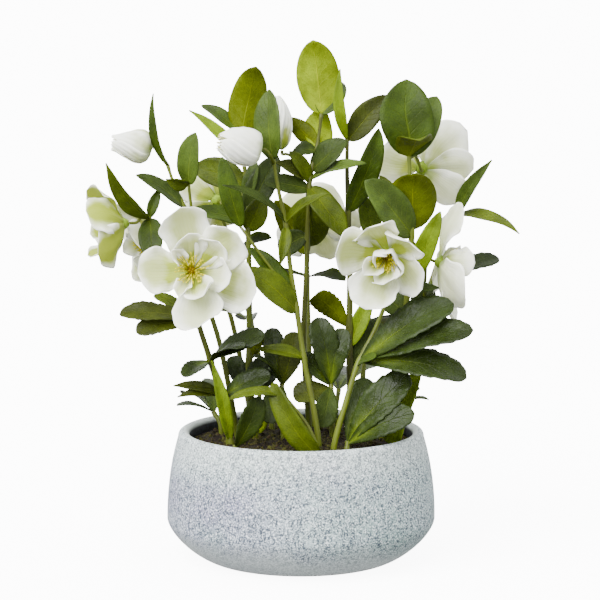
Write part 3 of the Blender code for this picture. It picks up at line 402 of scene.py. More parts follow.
# The same for the leaves that rise from the soil on stalks of their own
GROUND_LEAVES = {
    "leaf_front_dark": {
        "route": [(31, -45, 66), (34, -47, 96)],
        "radii": (2.0, 1.6),
        "leaves": """
        34 -47 93  81 -68 121  -0.2 -0.75 0.6  22 lobe basal
        34 -47 93  78 -52 146  -0.4  -0.8 0.4  27 lobe basal
        34 -47 93  48 -32 141  -0.2 -0.95 0.1  19 lobe basal
        """,
    },
    "leaf_front_strap": {
        "route": [(11, -63, 66), (11, -63, 92), (4, -62, 111), (-14, -59, 134)],
        "radii": (2.0, 0.9),
        "leaves": """
         11 -63  89  -21 -60 141  -0.6 -0.6 0.5  19 strap olive
        -13 -59 132  -52 -62 130  -0.1 -0.6 0.8   9 strap olive
        """,
    },
    "leaf_front_left": {
        "route": [(-47, -42, 66), (-48, -42, 92)],
        "radii": (1.9, 1.5),
        "leaves": """
        -48 -42 90  -30 -58 130  0.4 -0.85 0.3  18 lobe dark
        """,
    },
    "leaf_centre_left": {
        "route": [(-12, -20, 66), (-13, -20, 95), (-14, -21, 134)],
        "radii": (2.1, 1.5),
        "leaves": """
        -14 -21 132  -34 -42 158  0.2  -0.3 0.9  13 lobe dark
        -14 -21 132  -22 -12 174    0 -0.95 0.2  17 lobe basal
        -14 -21 132  -24 -42 108    0  -0.9 0.4  20 lobe dark
        -14 -21 132   -4 -20 172    0 -0.95 0.2  18 lobe moss
        """,
    },
    "leaf_centre_right": {
        "route": [(22, -18, 66), (23, -20, 95), (22, -22, 134)],
        "radii": (2.1, 1.5),
        "leaves": """
        22 -22 132  12 -26 184   0.2 -0.9 0.3  21 lobe basal
        22 -22 132  31 -26 176  -0.2 -0.9 0.3  19 lobe basal
        22 -22 130  -6 -28 126   0.1 -0.8 0.5  19 lobe moss
        22 -22 132   1 -26 156   0.3 -0.8 0.4  15 lobe basal
        22 -22 132  14 -36 104   0.2 -0.9 0.3  19 lobe dark
        """,
    },
    "leaf_right_strap": {
        "route": [(66, -24, 66), (67, -25, 92)],
        "radii": (2.3, 1.8),
        "leaves": """
        67 -25 88  86 -38 147  -0.4 -0.9 0.2  18 strap fresh
        """,
    },
    "leaf_left_low": {
        "route": [(-58, 12, 66), (-60, 14, 95), (-66, 18, 106)],
        "radii": (2.0, 1.5),
        "leaves": """
        -65 18 105  -93 10 112  0.2   0 0.9  15 lobe basal
        -65 18 105  -90 44 118  0.2 0.1 0.9  18 lobe basal
        -65 18 105  -68 58 124    0   0   1  17 lobe mid
        """,
    },
    "leaf_back_left": {
        "route": [(-30, 44, 66), (-31, 46, 95), (-32, 52, 118)],
        "radii": (2.0, 1.5),
        "leaves": """
        -32 52 117  -60 84 132  0.1 0.1 1  19 lobe basal
        -32 52 117  -34 98 128    0 0.1 1  19 lobe mid
        -32 52 117   -8 88 136    0 0.1 1  18 lobe basal
        """,
    },
    "leaf_back_right": {
        "route": [(24, 50, 66), (26, 53, 95), (29, 60, 116)],
        "radii": (2.0, 1.5),
        "leaves": """
        29 60 115  12 104 124  0 0.1 1  19 lobe basal
        29 60 115  44 106 126  0 0.1 1  19 lobe basal
        29 60 115  70  84 134  0   0 1  19 lobe mid
        """,
    },
    "leaf_right_low": {
        "route": [(60, 28, 66), (63, 29, 95), (68, 31, 106)],
        "radii": (2.0, 1.5),
        "leaves": """
        67 31 105  97 34 114  -0.1 0 1  15 lobe mid
        67 31 105  88 60 116  -0.1 0 1  18 lobe basal
        """,
    },
}

# Each bloom: its centre, the way it faces, how far its outer tepals lean away from that in degrees, and its
# outer and its inner tepals, each as (angle round the bloom, length, width)
BLOOMS = {
    "front_left": ((-78, -60, 222), (-0.05, -0.96, 0.24), 74,
                   [(101, 46, 37), (38, 42, 36), (-18, 47, 39), (-80, 44, 38), (181, 35, 36)],
                   [(93, 30, 26), (42, 33, 27), (-8, 31, 26), (-62, 30, 25), (-112, 23, 17), (136, 23, 16)]),
    "front_right": ((62, -58, 233), (-0.28, -0.90, -0.30), 55,
                    [(160, 42, 37), (40, 32, 33), (-36, 33, 34), (-112, 39, 38), (104, 35, 35)],
                    [(118, 23, 20), (52, 24, 21), (-14, 24, 21), (-80, 25, 23), (-150, 24, 22)]),
    "right": ((103, -8, 222), (0.92, 0.10, -0.16), 69,
              [(276, 45, 36), (206, 45, 41), (98, 44, 35), (36, 38, 35), (342, 38, 35)],
              [(165, 27, 23), (250, 28, 23), (20, 26, 22)]),
    "far_left": ((-130, -22, 252), (-0.94, -0.16, -0.08), 44,
                 [(35, 36, 36), (107, 35, 37), (179, 35, 37), (251, 36, 37), (323, 36, 36)],
                 [(70, 26, 21), (215, 26, 22)]),
    "left_inner": ((-112, 10, 237), (-0.84, -0.36, -0.28), 62,
                   [(20, 35, 32), (92, 37, 34), (164, 34, 32), (236, 35, 32), (308, 37, 33)],
                   [(56, 22, 18), (200, 23, 19), (272, 23, 19)]),
    "back_right": ((90, 22, 289), (0.10, 0.97, 0.06), 68,
                   [(142, 43, 36), (182, 37, 31), (219, 38, 29), (292, 38, 34), (10, 37, 34)],
                   [(30, 26, 20), (110, 26, 20), (260, 26, 20)]),
    "back_left": ((-64, 58, 262), (-0.35, 0.90, 0.20), 62,
                  [(30, 29, 27), (102, 30, 28), (174, 29, 27), (246, 28, 26), (318, 29, 27)],
                  [(66, 20, 16), (210, 20, 16), (282, 20, 16)]),
    "back_centre": ((10, 74, 242), (0.08, 0.97, 0.10), 66,
                    [(50, 33, 30), (118, 32, 30), (182, 33, 30), (248, 33, 30), (325, 32, 30)],
                    [(84, 22, 17), (150, 22, 17), (286, 22, 17)]),
}

# Each bud: its root, the way it points, its length and its width
BUDS = {
    "left": ((-109, -1, 306), (-0.98, 0.0, 0.12), 31, 24),
    "centre": ((-28, -46, 308), (-0.95, -0.15, 0.18), 32, 26),
    "behind": ((-14, 2, 304), (-0.08, 0.10, 1.0), 40, 17),
    "back": ((55, 76, 243), (-0.25, 0.50, 0.80), 26, 18),
}

# How brown a stem is, where it isn't STEM_SHADE
STEM_SHADES = {
    "stem_left_front": 0.55,
    "stem_left": 0.15,
    "stem_left_bud": 0.10,
    "stem_mid_left": 0.15,
    "stem_centre_tall": 0.65,
    "stem_mid_right": 0.85,
    "stem_front_right": 0.0,
    "stem_right_tall": 0.10,
}

# How green each flower is at its root, where it isn't BLOOM_GREEN or BUD_GREEN
GREENER = {
    # Partly painted shade: far_left's extra green stands for the shaded side of its bell as well as its own
    # green
    "far_left": 2.2,
    "back_left": 1.6,
    "right": 1.0,
    "bud_behind": 1.2,
    "bud_left": 0.8,
    "bud_centre": 0.3,
}

# How far up an outer and an inner tepal the green wash reaches, and how much further on some blooms
WASH = {
    "tepal": (1.06, 1.36),
    "inner_tepal": (0.92, 1.12),
}
WASHED = {
    # Partly painted shade: far_left's wash reaches further, for the shaded side of its bell as well as its
    # own green
    "far_left": 1.35,
    "front_left": 1.05,
}

# A bud's radius from root to tip: shares of its length, and the share of its half width at each
BUD_SHAPES = {
    "left": ((0, 0.03, 0.10, 0.24, 0.42, 0.64, 0.85, 1), (0, 0.50, 0.84, 1, 0.94, 0.74, 0.53, 0.44)),
    "centre": ((0, 0.03, 0.09, 0.24, 0.5, 0.74, 0.9, 1), (0, 0.62, 0.86, 0.98, 1, 0.86, 0.6, 0.42)),
    "other": ((0, 0.05, 0.18, 0.38, 0.6, 0.8, 0.93, 1), (0, 0.46, 0.84, 1, 0.97, 0.74, 0.42, 0.14)),
}

# The least and the most of what differs from leaf to leaf and from tepal to tepal, in the order of drawing:
# how fast, from where and how much later on one side its margins wave, how high, how far it swings to a side
# and twists, and how far its tip droops; a tepal has notches and pleats too
LEAF_LUCK = {
    "rate": (1.4, 2.3),
    "phase": (0.0, 1.0),
    "lag": (0.4, 1.6),
    "wave": (0.5, 1.3),
    "swing": (-0.06, 0.06),
    "twist": (-11.0, 11.0),
    "droop": (-0.02, 0.16),
}
TEPAL_LUCK = {
    "rate": (1.2, 2.0),
    "phase": (0.0, 1.0),
    "lag": (0.5, 2.5),
    "wave": (0.6, 1.3),
    "swing": (-0.02, 0.02),
    "notch": (0.02, 0.06),
    "pleat": (0.30, 0.65),
    "droop": (-0.08, 0.10),
}


def tint(name, description, default):
    """A colour that can be set in the panel."""
    return FloatVectorProperty(name=name, description=description, subtype="COLOR", default=default)


def measure(name, description, default, least=0.0):
    """A length that can be set in the panel."""
    return FloatProperty(name=name, description=description, default=default, min=least, unit="LENGTH")


class BowlSettings(bpy.types.PropertyGroup):
    segments: IntProperty(name="Segments", description="Faces round the bowl", default=144, min=24)
    pale: tint("Glaze", "Pale ground of the stoneware", (0.38, 0.46, 0.47))
    speckle: tint("Speckle", "Fine speckle on the stoneware", (0.040, 0.054, 0.074))
    violet: tint("Violet bloom", "Cooler patches", (0.22, 0.225, 0.31))
    green: tint("Green bloom", "Greyish green patches", (0.25, 0.36, 0.33))
    # Painted light: the foot band is lighter than the glaze, standing in for light from the floor below
    foot: tint("Foot", "Smoother band at the foot", (0.52, 0.57, 0.55))
    # The lip: partly its own warmer grey and partly painted light from above
    lip: tint("Lip", "Warmer grey of the lip", (0.56, 0.61, 0.58))
    bare: tint("Bare clay", "Thin line where the glaze is worn", (0.22, 0.11, 0.07))
    # Painted shade: the inner wall above the soil is near black for the shade inside the bowl
    inside: tint("Inside", "Wall above the soil", (0.007, 0.007, 0.005))
    grain: measure("Grain", "Size of one speckle", 0.00072, 0.0003)


class SoilSettings(bpy.types.PropertyGroup):
    earth: tint("Compost", "Dark compost", (0.010, 0.007, 0.0045))
    dry: tint("Dry compost", "Lighter crumbs", (0.055, 0.038, 0.020))
    moss: tint("Moss", "Olive specks and fibres", (0.050, 0.052, 0.010))
    grit: tint("Grit", "A few pale grains", (0.85, 0.83, 0.78))
    clod_height: measure("Clod height", "How far clods stand out", 0.0016)
    crumbs: IntProperty(name="Crumbs", description="Loose crumbs on the soil", default=1500, min=0)
    fibres: IntProperty(name="Fibres", description="Moss and root fibres", default=420, min=0)


class LeafSettings(bpy.types.PropertyGroup):
    fresh: tint("Fresh", "Young yellow-green leaves", (0.092, 0.145, 0.002))
    olive: tint("Olive", "Olive leaves", (0.040, 0.059, 0.001))
    moss: tint("Moss green", "Dull olive leaves low down", (0.025, 0.033, 0.002))
    mid: tint("Green", "Mid green leaves", (0.023, 0.042, 0.002))
    blue: tint("Grey-green", "Leaves with a pale bloom", (0.034, 0.058, 0.006))
    # Partly painted shade: the dark tone goes to old leaves and to leaves deep in the plant, standing in for
    # the shade among them
    dark: tint("Dark", "Old dark leaves", (0.017, 0.029, 0.003))
    basal: tint("Ground leaf", "Dark glossy cut leaves", (0.0125, 0.0215, 0.0033))
    vein: tint("Vein", "Veins of the ground leaves", (0.105, 0.150, 0.006))
    stem: tint("Stem", "Green of the stems", (0.088, 0.112, 0.006))
    stem_brown: tint("Stem shade", "Brown flush on the stems", (0.030, 0.028, 0.004))
    thickness: measure("Thickness", "Thickness of a blade", 0.0006, 0.0002)
    wave: FloatProperty(
        name="Wave", description="How far margins wave, as a share of the width", default=0.035, min=0.0)
    teeth: IntProperty(name="Teeth", description="Teeth on each side of a cut leaf", default=9, min=1)
    tooth: FloatProperty(
        name="Tooth depth", description="Depth of a tooth, as a share of the width", default=0.12, min=0.0)


class BloomSettings(bpy.types.PropertyGroup):
    white: tint("White", "Tepals towards their tips", (0.99, 1.00, 0.84))
    green: tint("Green", "Tepals at their root", (0.27, 0.325, 0.022))
    seat: tint("Seat", "Seat under the tepals", (0.18, 0.27, 0.02))
    filament: tint("Filament", "Threads of the stamens", (0.40, 0.37, 0.006))
    anther: tint("Anther", "Tips of the stamens", (0.62, 0.55, 0.014))
    heart: tint("Heart", "Heart of the bloom", (0.17, 0.100, 0.002))
    stamens: IntProperty(name="Stamens", description="Stamens in a bloom", default=78, min=5)
    stamen_length: measure("Stamen length", "Longest stamen", 0.0135, 0.004)
    thickness: measure("Thickness", "Thickness of a tepal", 0.0004, 0.0002)
    ruffle: measure("Ruffle", "How far tepal margins wave", 0.0022)


class StageSettings(bpy.types.PropertyGroup):
    floor_size: FloatProperty(name="Floor", description="Side of the floor", default=120.0, unit="LENGTH")
    floor: tint("Floor colour", "Plain pale floor", (0.90, 0.90, 0.90))
    glow: FloatProperty(name="Floor glow", description="Light from the floor itself", default=9.0, min=0.0)
    sky: FloatProperty(name="Light from above", description="Strength of the dome", default=2.55, min=0.0)
    bounce: FloatProperty(
        name="Light from below", description="Strength of the dome's lower half", default=0.75, min=0.0)
    key: FloatProperty(name="Key light", description="Strength of the main light", default=8.2, min=0.0)
    camera_height: FloatProperty(
        name="Camera height", description="Height of the camera", default=0.447, unit="LENGTH")
    camera_distance: FloatProperty(
        name="Camera distance", description="Distance of the camera", default=1.9, unit="LENGTH")
    aim_height: FloatProperty(
        name="Aim height", description="Height that the camera looks at", default=0.193, unit="LENGTH")


class Level:
    """A value or a colour in a material; sums and products of values add the nodes for them."""

    def __init__(self, made, socket):
        self.made = made
        self.socket = socket

    def __add__(self, other):
        return self.made.maths("ADD", self, other)

    def __sub__(self, other):
        return self.made.maths("SUBTRACT", self, other)

    def __mul__(self, other):
        return self.made.maths("MULTIPLY", self, other)

    def band(self, start, end, low=0.0, high=1.0):
        """Runs smoothly from low to high as the value goes from start to end."""
        sockets = {"Value": self, "From Min": start, "From Max": end, "To Min": low, "To Max": high}
        return self.made.node("ShaderNodeMapRange", sockets, "Result", interpolation_type="SMOOTHSTEP")

    def ladder(self):
        """Climbs to 0.5 and back to 0 each time that the value grows by 1."""
        return self.made.maths("PINGPONG", self, 0.5)

    def clamped(self):
        """The value, held between 0 and 1."""
        self.socket.node.use_clamp = True
        return self


class Shading:
    """A material being made: short ways to add its nodes and to link them."""

    def __init__(self, name, roughness, specular):
        self.material = bpy.data.materials.new(name)
        self.material.use_nodes = True
        self.tree = self.material.node_tree
        self.surface = self.tree.nodes["Principled BSDF"].inputs
        self.surface["Roughness"].default_value = roughness
        self.surface["Specular IOR Level"].default_value = specular

    def node(self, kind, sockets, output, **settings):
        made = self.tree.nodes.new(kind)
        for key, value in settings.items():
            setattr(made, key, value)
        for key, value in sockets.items():
            self.feed(made.inputs[key], value)
        return Level(self, made.outputs[output])

    def feed(self, socket, value):
        if isinstance(value, Level):
            self.tree.links.new(value.socket, socket)
        elif socket.type == "RGBA":
            socket.default_value = (*value, 1.0)
        else:
            socket.default_value = value

    def maths(self, operation, a, b=0.0):
        return self.node("ShaderNodeMath", {0: a, 1: b}, 0, operation=operation)

    def mix(self, share, a, b, blend="MIX"):
        return self.node("ShaderNodeMix", {0: share, 6: a, 7: b}, 2, data_type="RGBA", blend_type=blend)

    def shaded(self, face, level):
        """The face, darkened or lightened by a level."""
        grey = self.node("ShaderNodeCombineColor", {0: level, 1: level, 2: level}, 0)
        return self.mix(1.0, face, grey, "MULTIPLY")

    def noise(self, place, scale, detail=2.0, roughness=0.5):
        sockets = {"Vector": place, "Scale": scale, "Detail": detail, "Roughness": roughness}
        return self.node("ShaderNodeTexNoise", sockets, "Fac")

    def place(self, scale=(1.0, 1.0, 1.0)):
        """Object coordinates in metres, stretched by the scale."""
        here = self.node("ShaderNodeTexCoord", {}, "Object")
        return self.node("ShaderNodeMapping", {"Vector": here, "Scale": scale}, "Vector")

    def axis(self, place, letter):
        return self.node("ShaderNodeSeparateXYZ", {"Vector": place}, letter)

    def blade_place(self):
        """Where a point lies on its blade: the signed and the plain share across, and the share along."""
        uv = self.node("ShaderNodeUVMap", {}, "UV", uv_map="UVMap")
        signed = self.axis(uv, "X") * 2.0 - 1.0
        return signed, self.maths("ABSOLUTE", signed), self.axis(uv, "Y")

    def tone(self):
        """The colour of the attribute "tone", and its alpha."""
        found = self.node("ShaderNodeAttribute", {}, "Color", attribute_name="tone")
        return found, Level(self, found.socket.node.outputs["Alpha"])

    def bump(self, height, strength, distance):
        sockets = {"Height": height, "Strength": strength, "Distance": distance}
        self.feed(self.surface["Normal"], self.node("ShaderNodeBump", sockets, "Normal"))

    def done(self, face):
        self.feed(self.surface["Base Color"], face)
        return self.material


def finish_of(name, make, *args):
    """The material of that name, made when it is first asked for."""
    return bpy.data.materials.get(name) or make(name, *args)


def leaf_finish(name, settings, under):
    """A leaf's face: its tone, mottled, with a midrib, arched side veins, a fine net and a paler back."""
    made = Shading(name, 0.5, 0.05 if under else 0.13)
    signed, across, along = made.blade_place()
    tone, veined = made.tone()
    here = made.place()
    rib = (across - along.band(0.0, 1.0, 0.045, 0.008)).band(0.020, -0.008)
    wander = made.noise(here, 160.0, 1.0) * 0.5
    phase = along * 8.0 - across * 2.3 + wander + signed.band(-0.01, 0.01, 0.0, 0.5)
    branch = phase.ladder().band(0.06, 0.0) * across.band(1.0, 0.45)
    net = {"Vector": here, "Scale": 620.0}
    cells = made.node("ShaderNodeTexVoronoi", net, "Distance", feature="DISTANCE_TO_EDGE").band(0.0, 0.20)
    mottle = made.noise(here, 55.0, 3.0, 0.6)
    face = made.shaded(tone, mottle.band(0.30, 0.72, 0.66, 1.34))
    if under:
        face = made.mix(1.0, face, (1.45, 1.30, 1.50), "MULTIPLY")
    pale = made.mix(1.0, face, (2.1, 1.8, 1.9), "MULTIPLY")
    pale = made.mix(1.0, pale, (0.012, 0.016, 0.0), "ADD")
    face = made.mix(cells.band(0.0, 1.0, 0.22, 0.0), face, pale)
    bright = made.mix(along.band(0.70, 0.02) * veined, pale, settings.vein)
    face = made.mix(branch * 0.42, face, bright)
    face = made.mix(rib * along.band(1.0, 0.1, 0.35, 0.85), face, bright)
    halo = across.band(0.75, 0.0) * along.band(0.60, 0.06)
    glow = made.mix(veined * 0.8, pale, settings.vein)
    face = made.mix(halo * veined.band(0.2, 1.0, 0.30, 0.72), face, glow)
    side = 1.0 if under else -1.0
    relief = rib * side + branch * (0.7 * side) + cells * 0.16 + made.noise(here, 260.0) * 0.5
    puckers = made.noise(here, 105.0, 1.0) * veined.band(0.6, 1.0, 0.6, 3.2)
    made.bump(relief + puckers, 0.7, 0.0006)
    dull = mottle.band(0.25, 0.75, 0.38, 0.58) - veined.band(0.6, 1.0, 0.0, 0.20)
    made.feed(made.surface["Roughness"], dull)
    darker = made.shaded(face, along.band(0.15, 0.85, 1.25, 0.86))
    return made.done(made.mix(veined.band(0.6, 1.0), face, darker))


def stem_finish(name, settings):
    """A stalk: long green and brown streaks over its tone, with fine ridges."""
    made = Shading(name, 0.45, 0.25)
    streak = made.noise(made.place((1.0, 1.0, 0.10)), 420.0)
    flush = made.noise(made.place(), 38.0).band(0.44, 0.72) * 0.50
    face = made.mix(flush, made.tone()[0], settings.stem_brown)
    made.bump(streak, 0.4, 0.0004)
    return made.done(made.mix(streak.band(0.40, 0.75, 0.0, 0.45), face, (0.105, 0.140, 0.010)))


def tepal_finish(name, settings, back):
    """A tepal: white margins round a yellow-green wash; the tone's red says how far the wash reaches."""
    made = Shading(name, 0.60, 0.3)
    signed, across, along = made.blade_place()
    tone, green = made.tone()
    far = made.node("ShaderNodeSeparateColor", {"Color": tone}, "Red")
    here = made.place()
    drift = (made.noise(here, 70.0) - 0.5) * 0.55
    reach = along + drift
    wide = across + drift * 1.3
    inner = reach.band(far, far - 0.55) * wide.band(1.25 if back else 1.02, 0.30)
    thread = (signed * 7.0 + drift * 2.6).ladder().band(0.25, 0.0) * reach.band(1.05, 0.30)
    veil = inner * 0.64 + reach.band(0.55, 0.10, 0.0, 0.34) + thread * 0.04
    veil = (veil * (green * (0.85 if back else 1.0))).clamped()
    face = made.mix(veil, settings.white, settings.green)
    face = made.mix(reach.band(0.24, 0.02) * 0.75, face, settings.seat)
    made.bump(thread * -0.5 + made.noise(here, 240.0), 0.45, 0.0006)
    made.surface["Subsurface Weight"].default_value = 0.30
    made.surface["Subsurface Radius"].default_value = (1.0, 1.0, 0.6)
    made.surface["Subsurface Scale"].default_value = 0.003
    return made.done(face)


def toned_finish(name, roughness, grain):
    """A finish that takes its colour from each shape's own tone, with a fine grain."""
    made = Shading(name, roughness, 0.08)
    fine = made.noise(made.place(), grain)
    made.bump(fine, 0.5, 0.0003)
    return made.done(made.shaded(made.tone()[0], fine.band(0.25, 0.75, 0.72, 1.25)))


def stoneware_finish(name, settings):
    """Speckled stoneware: fine dense grain over a pale ground that is cooler on the left and greener on the
    right, with plainer bands at the foot and the lip, paled by painted light, and a thin worn line on the
    lip's inner edge."""
    made = Shading(name, 0.62, 0.4)
    here = made.place()
    speck = made.noise(here, 0.62 / settings.grain, 2.0, 0.65)
    blot = made.noise(here, 0.22 / settings.grain, 2.0, 0.6)
    streak = made.noise(made.place((1.0, 1.0, 0.30)), 0.40 / settings.grain)
    patch = made.noise(here, 17.0)
    other = made.noise(made.place((1.0, 1.0, 1.6)), 13.0)
    right, height = made.axis(here, "X"), made.axis(here, "Z")
    uneven = height + (patch - 0.5) * 0.03
    body = uneven.band(0.008, 0.030, 0.42, 1.0)
    near_lip = height.band(0.066, 0.092)
    cool = right.band(0.015, -0.045, 0.0, 0.65) * height.band(0.078, 0.060)
    cool = (cool + patch.band(0.46, 0.66, 0.0, 0.45)).clamped()
    ground = made.mix(cool, settings.pale, settings.violet)
    mossy = (other.band(0.48, 0.70, 0.0, 0.50) + right.band(0.02, 0.08, 0.0, 0.5)).clamped()
    ground = made.mix(mossy, ground, settings.green)
    # Painted light: the foot band is lightened for the light that the floor throws up at it
    ground = made.mix(uneven.band(0.030, 0.008, 0.0, 0.75), ground, settings.foot)
    # The lip band: its own warmer grey, partly painted light from above
    ground = made.mix(near_lip * 0.55, ground, settings.lip)
    mark = (speck * 0.55 + streak * 0.25 + blot * 0.20).band(0.455, 0.585)
    mark = mark * (body * near_lip.band(0.0, 1.0, 0.95, 0.74))
    face = made.mix(mark, ground, settings.speckle)
    face = made.mix(speck.band(0.45, 0.34) * (body * 0.80), face, (0.86, 0.89, 0.90))
    flat = made.node("ShaderNodeVectorMath", {0: here, 1: (1.0, 1.0, 0.0)}, 0, operation="MULTIPLY")
    radius = made.node("ShaderNodeVectorMath", {0: flat}, "Value", operation="LENGTH")
    worn = radius.band(*WORN_RADII) * height.band(*WORN_HEIGHTS) * blot.band(0.40, 0.62, 0.25, 0.9)
    face = made.mix(worn, face, settings.bare)
    made.bump(speck + streak * 0.5, 0.45, 0.0005)
    made.feed(made.surface["Roughness"], speck.band(0.3, 0.7, 0.52, 0.78))
    return made.done(face)


def hollow_finish(name, settings):
    """The bowl's inner wall: painted shade, dark grey with a faint grain, turning as pale as the lip at its
    top as painted light.
    """
    made = Shading(name, 0.7, 0.3)
    here = made.place()
    grain = made.noise(here, 500.0)
    # Painted shade over the whole inner wall, with a faint grain
    face = made.mix(grain.band(0.35, 0.7, 0.0, 0.35), settings.inside, settings.speckle)
    made.bump(grain, 0.4, 0.0004)
    # Painted light: the wall's top band turns to the lip's colour where light reaches in
    return made.done(made.mix(made.axis(here, "Z").band(*LIT_WALL, 0.0, 0.85), face, settings.lip))


def soil_finish(name, settings):
    """Dark compost with drier and mossy specks."""
    made = Shading(name, 0.95, 0.15)
    here = made.place()
    fleck = made.noise(here, 620.0, 3.0, 0.6)
    face = made.mix(fleck.band(0.52, 0.70, 0.0, 0.55), settings.earth, settings.dry)
    share = made.noise(here, 46.0).band(0.44, 0.62) * fleck.band(0.44, 0.58, 0.0, 0.65)
    made.bump(made.noise(here, 190.0, 4.0, 0.65) + fleck * 0.6, 1.0, 0.0015)
    return made.done(made.mix(share, face, settings.moss))


def floor_finish(name, settings):
    """A plain white sheet that is lit from below, with a faint grain."""
    made = Shading(name, 0.9, 0.1)
    made.surface["Emission Color"].default_value = (1.0, 1.0, 1.0, 1.0)
    made.surface["Emission Strength"].default_value = settings.glow
    grain = made.noise(made.place(), 40.0) * 0.02
    return made.done(made.mix(grain, settings.floor, (0.7, 0.7, 0.7)))


def deselect_all():
    for obj in bpy.context.selected_objects:
        obj.select_set(False)


def only(obj):
    """Makes the object the active one and the only one selected."""
    deselect_all()
    obj.select_set(True)
    bpy.context.view_layer.objects.active = obj
    return obj


def added(add, **settings):
    """A primitive, added with nothing else selected."""
    deselect_all()
    add(**settings)
    return bpy.context.active_object


def new_object(name, mesh):
    obj = bpy.data.objects.new(name, mesh)
    bpy.context.scene.collection.objects.link(obj)
    return obj


def joined(name, pieces):
    """The pieces as one object under the name."""
    body = only(pieces[0])
    for piece in pieces[1:]:
        piece.select_set(True)
    if len(pieces) > 1:
        bpy.ops.object.join()
    body.name = name
    body.data.name = name
    return body


def dressed(obj, node=None):
    """Puts a finished piece on the part: its body and the node that it stands for."""
    only(obj)
    bpy.ops.object.shade_smooth()
    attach(obj, "root")
    if node:
        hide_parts(node)
    return obj


def set_tone(mesh, tone, strength=1.0, top=None):
    """Gives every point the tone, or runs it to another at the top; the alpha is the veins' strength."""
    co = points_of(mesh)
    layer = mesh.attributes.get("tone") or mesh.attributes.new("tone", "FLOAT_COLOR", "POINT")
    values = np.tile(np.array((*tone, strength), dtype=np.float32), (len(co), 1))
    if top is not None:
        height = co[:, 2]
        share = (height - height.min()) / max(np.ptp(height), 1e-6)
        values[:, :3] += share[:, None] * (np.array(top) - np.array(tone))
    layer.data.foreach_set("color", values.astype(np.float32).ravel())


def points_of(mesh):
    co = np.empty(len(mesh.vertices) * 3, np.float32)
    mesh.vertices.foreach_get("co", co)
    return co.reshape(-1, 3).astype(float)


def set_points(mesh, co):
    mesh.vertices.foreach_set("co", (co * MM).astype(np.float32).ravel())
    mesh.update()


def unit(vectors):
    return vectors / np.linalg.norm(vectors, axis=-1, keepdims=True)


def ramp(place, start, length):
    """Climbs from 0 to 1 over that length from the start, backwards where the length is negative."""
    return np.clip((place - start) / length, 0, 1)


def drawn(luck, ranges):
    """A value for each key, drawn from its range."""
    return {key: luck.uniform(*ends) for key, ends in ranges.items()}


def pattern(name, obj):
    """Keeps an object's mesh under that name, to be copied, and removes the object."""
    mesh = obj.data
    mesh.name = name
    mesh.use_fake_user = True
    bpy.data.objects.remove(obj)
    return mesh


def flat_blade(outline):
    """A copy of the flat grid for that outline, with its points' places across and along it."""
    name = f"blank_{outline}"
    mesh = bpy.data.meshes.get(name)
    if not mesh:
        across, along = GRIDS[outline]
        grid = added(bpy.ops.mesh.primitive_grid_add, x_subdivisions=across, y_subdivisions=along, size=2.0)
        mesh = pattern(name, grid)
    mesh = mesh.copy()
    flat = points_of(mesh)
    return mesh, flat[:, 0], ramp(flat[:, 1], -1, 2)


def half_width(outline, t):
    """The share of the full half width that a blade has this far from its root."""
    from_root, from_tip = BLADES[outline][:2]
    widest = from_root / (from_root + from_tip)
    return (t / widest) ** from_root * ((1 - t) / (1 - widest)) ** from_tip


def bent_blade(blade, x, t, look):
    """The points of a blade's middle surface, in millimetres: bowed, folded, twisted and waved."""
    root, tip, face, width, outline = blade
    root, tip, face = (np.array(v, dtype=float) for v in (root, tip, face))
    along = tip - root
    length = np.linalg.norm(along)
    along = along / length
    up = unit(face - along * face.dot(along))
    bow = BLADES[outline][2]
    middle = root + np.outer(t, along) * length + np.outer(bow * length * 4 * t * (1 - t), up)
    tangent = unit(along + np.outer(bow * 4 * (1 - 2 * t), up))
    normal = unit(up - tangent * (tangent @ up)[:, None])
    side = np.cross(tangent, normal)
    turn = (np.radians(look["twist"]) * t)[:, None]
    side = side * np.cos(turn) + np.cross(tangent, side) * np.sin(turn)
    normal = np.cross(side, tangent)
    half = half_width(outline, t) * width / 2
    if "teeth" in look:
        saw = (t * look["teeth"] + TOOTH_LAG * np.sign(x)) % 1.0
        edge = ramp(t, 0.30, 0.15) * ramp(t, 1.0, -0.04)
        half = half * (1 + look["tooth"] * edge * (saw - TOOTH_BASE))
    if "pleat" in look:
        notches = np.sin(2 * math.pi * (NOTCH_RATE * t + look["phase"]) + np.sign(x) * NOTCH_LAG)
        half = half * (1 + look["notch"] * notches)
    half = np.hypot(half, look["least"])
    rise = math.radians(look.get("fold", BLADES[outline][3]))
    wave = np.sin(2 * math.pi * (look["rate"] * t + look["phase"]) + np.sign(x) * look["lag"])
    fade = np.clip(t * 3, 0, 1) * np.clip(half * 2 / width, 0, 1)
    lift = half * math.sin(rise) * np.abs(x) ** look["cup"] + look["wave"] * wave * np.abs(x) ** 2.5 * fade
    lift = lift - look["droop"] * width * ramp(t, 0.5, 0.5) ** 2
    if "pleat" in look:
        fold = np.cos(PLEATS * math.pi * x + 6.0 * look["phase"]) * np.sin(math.pi * np.clip(t * 1.1, 0, 1))
        frill = np.sin(2 * math.pi * (FRILL_RATE * t + 3 * look["phase"]) + 2.0 * x) * np.abs(x) ** 4
        frill = frill * ramp(t, 0.25, 0.5)
        lift = lift + look["pleat"] * (fold + FRILL_SHARE * frill)
    swing = look["swing"] * width * np.sin(math.pi * t) * np.sin(math.pi * (SWING_RATE * t + look["phase"]))
    return middle + side * (half * x * math.cos(rise) + swing)[:, None] + normal * lift[:, None]


def blade(name, spec, tone, strength, look, finishes):
    """One leaf or tepal as an open sheet, with its tone and its two finishes."""
    mesh, x, t = flat_blade(spec[4])
    mesh.name = name
    set_points(mesh, bent_blade(spec, x, t, look))
    set_tone(mesh, tone, strength)
    for finish in finishes:
        mesh.materials.append(finish)
    return new_object(name, mesh)


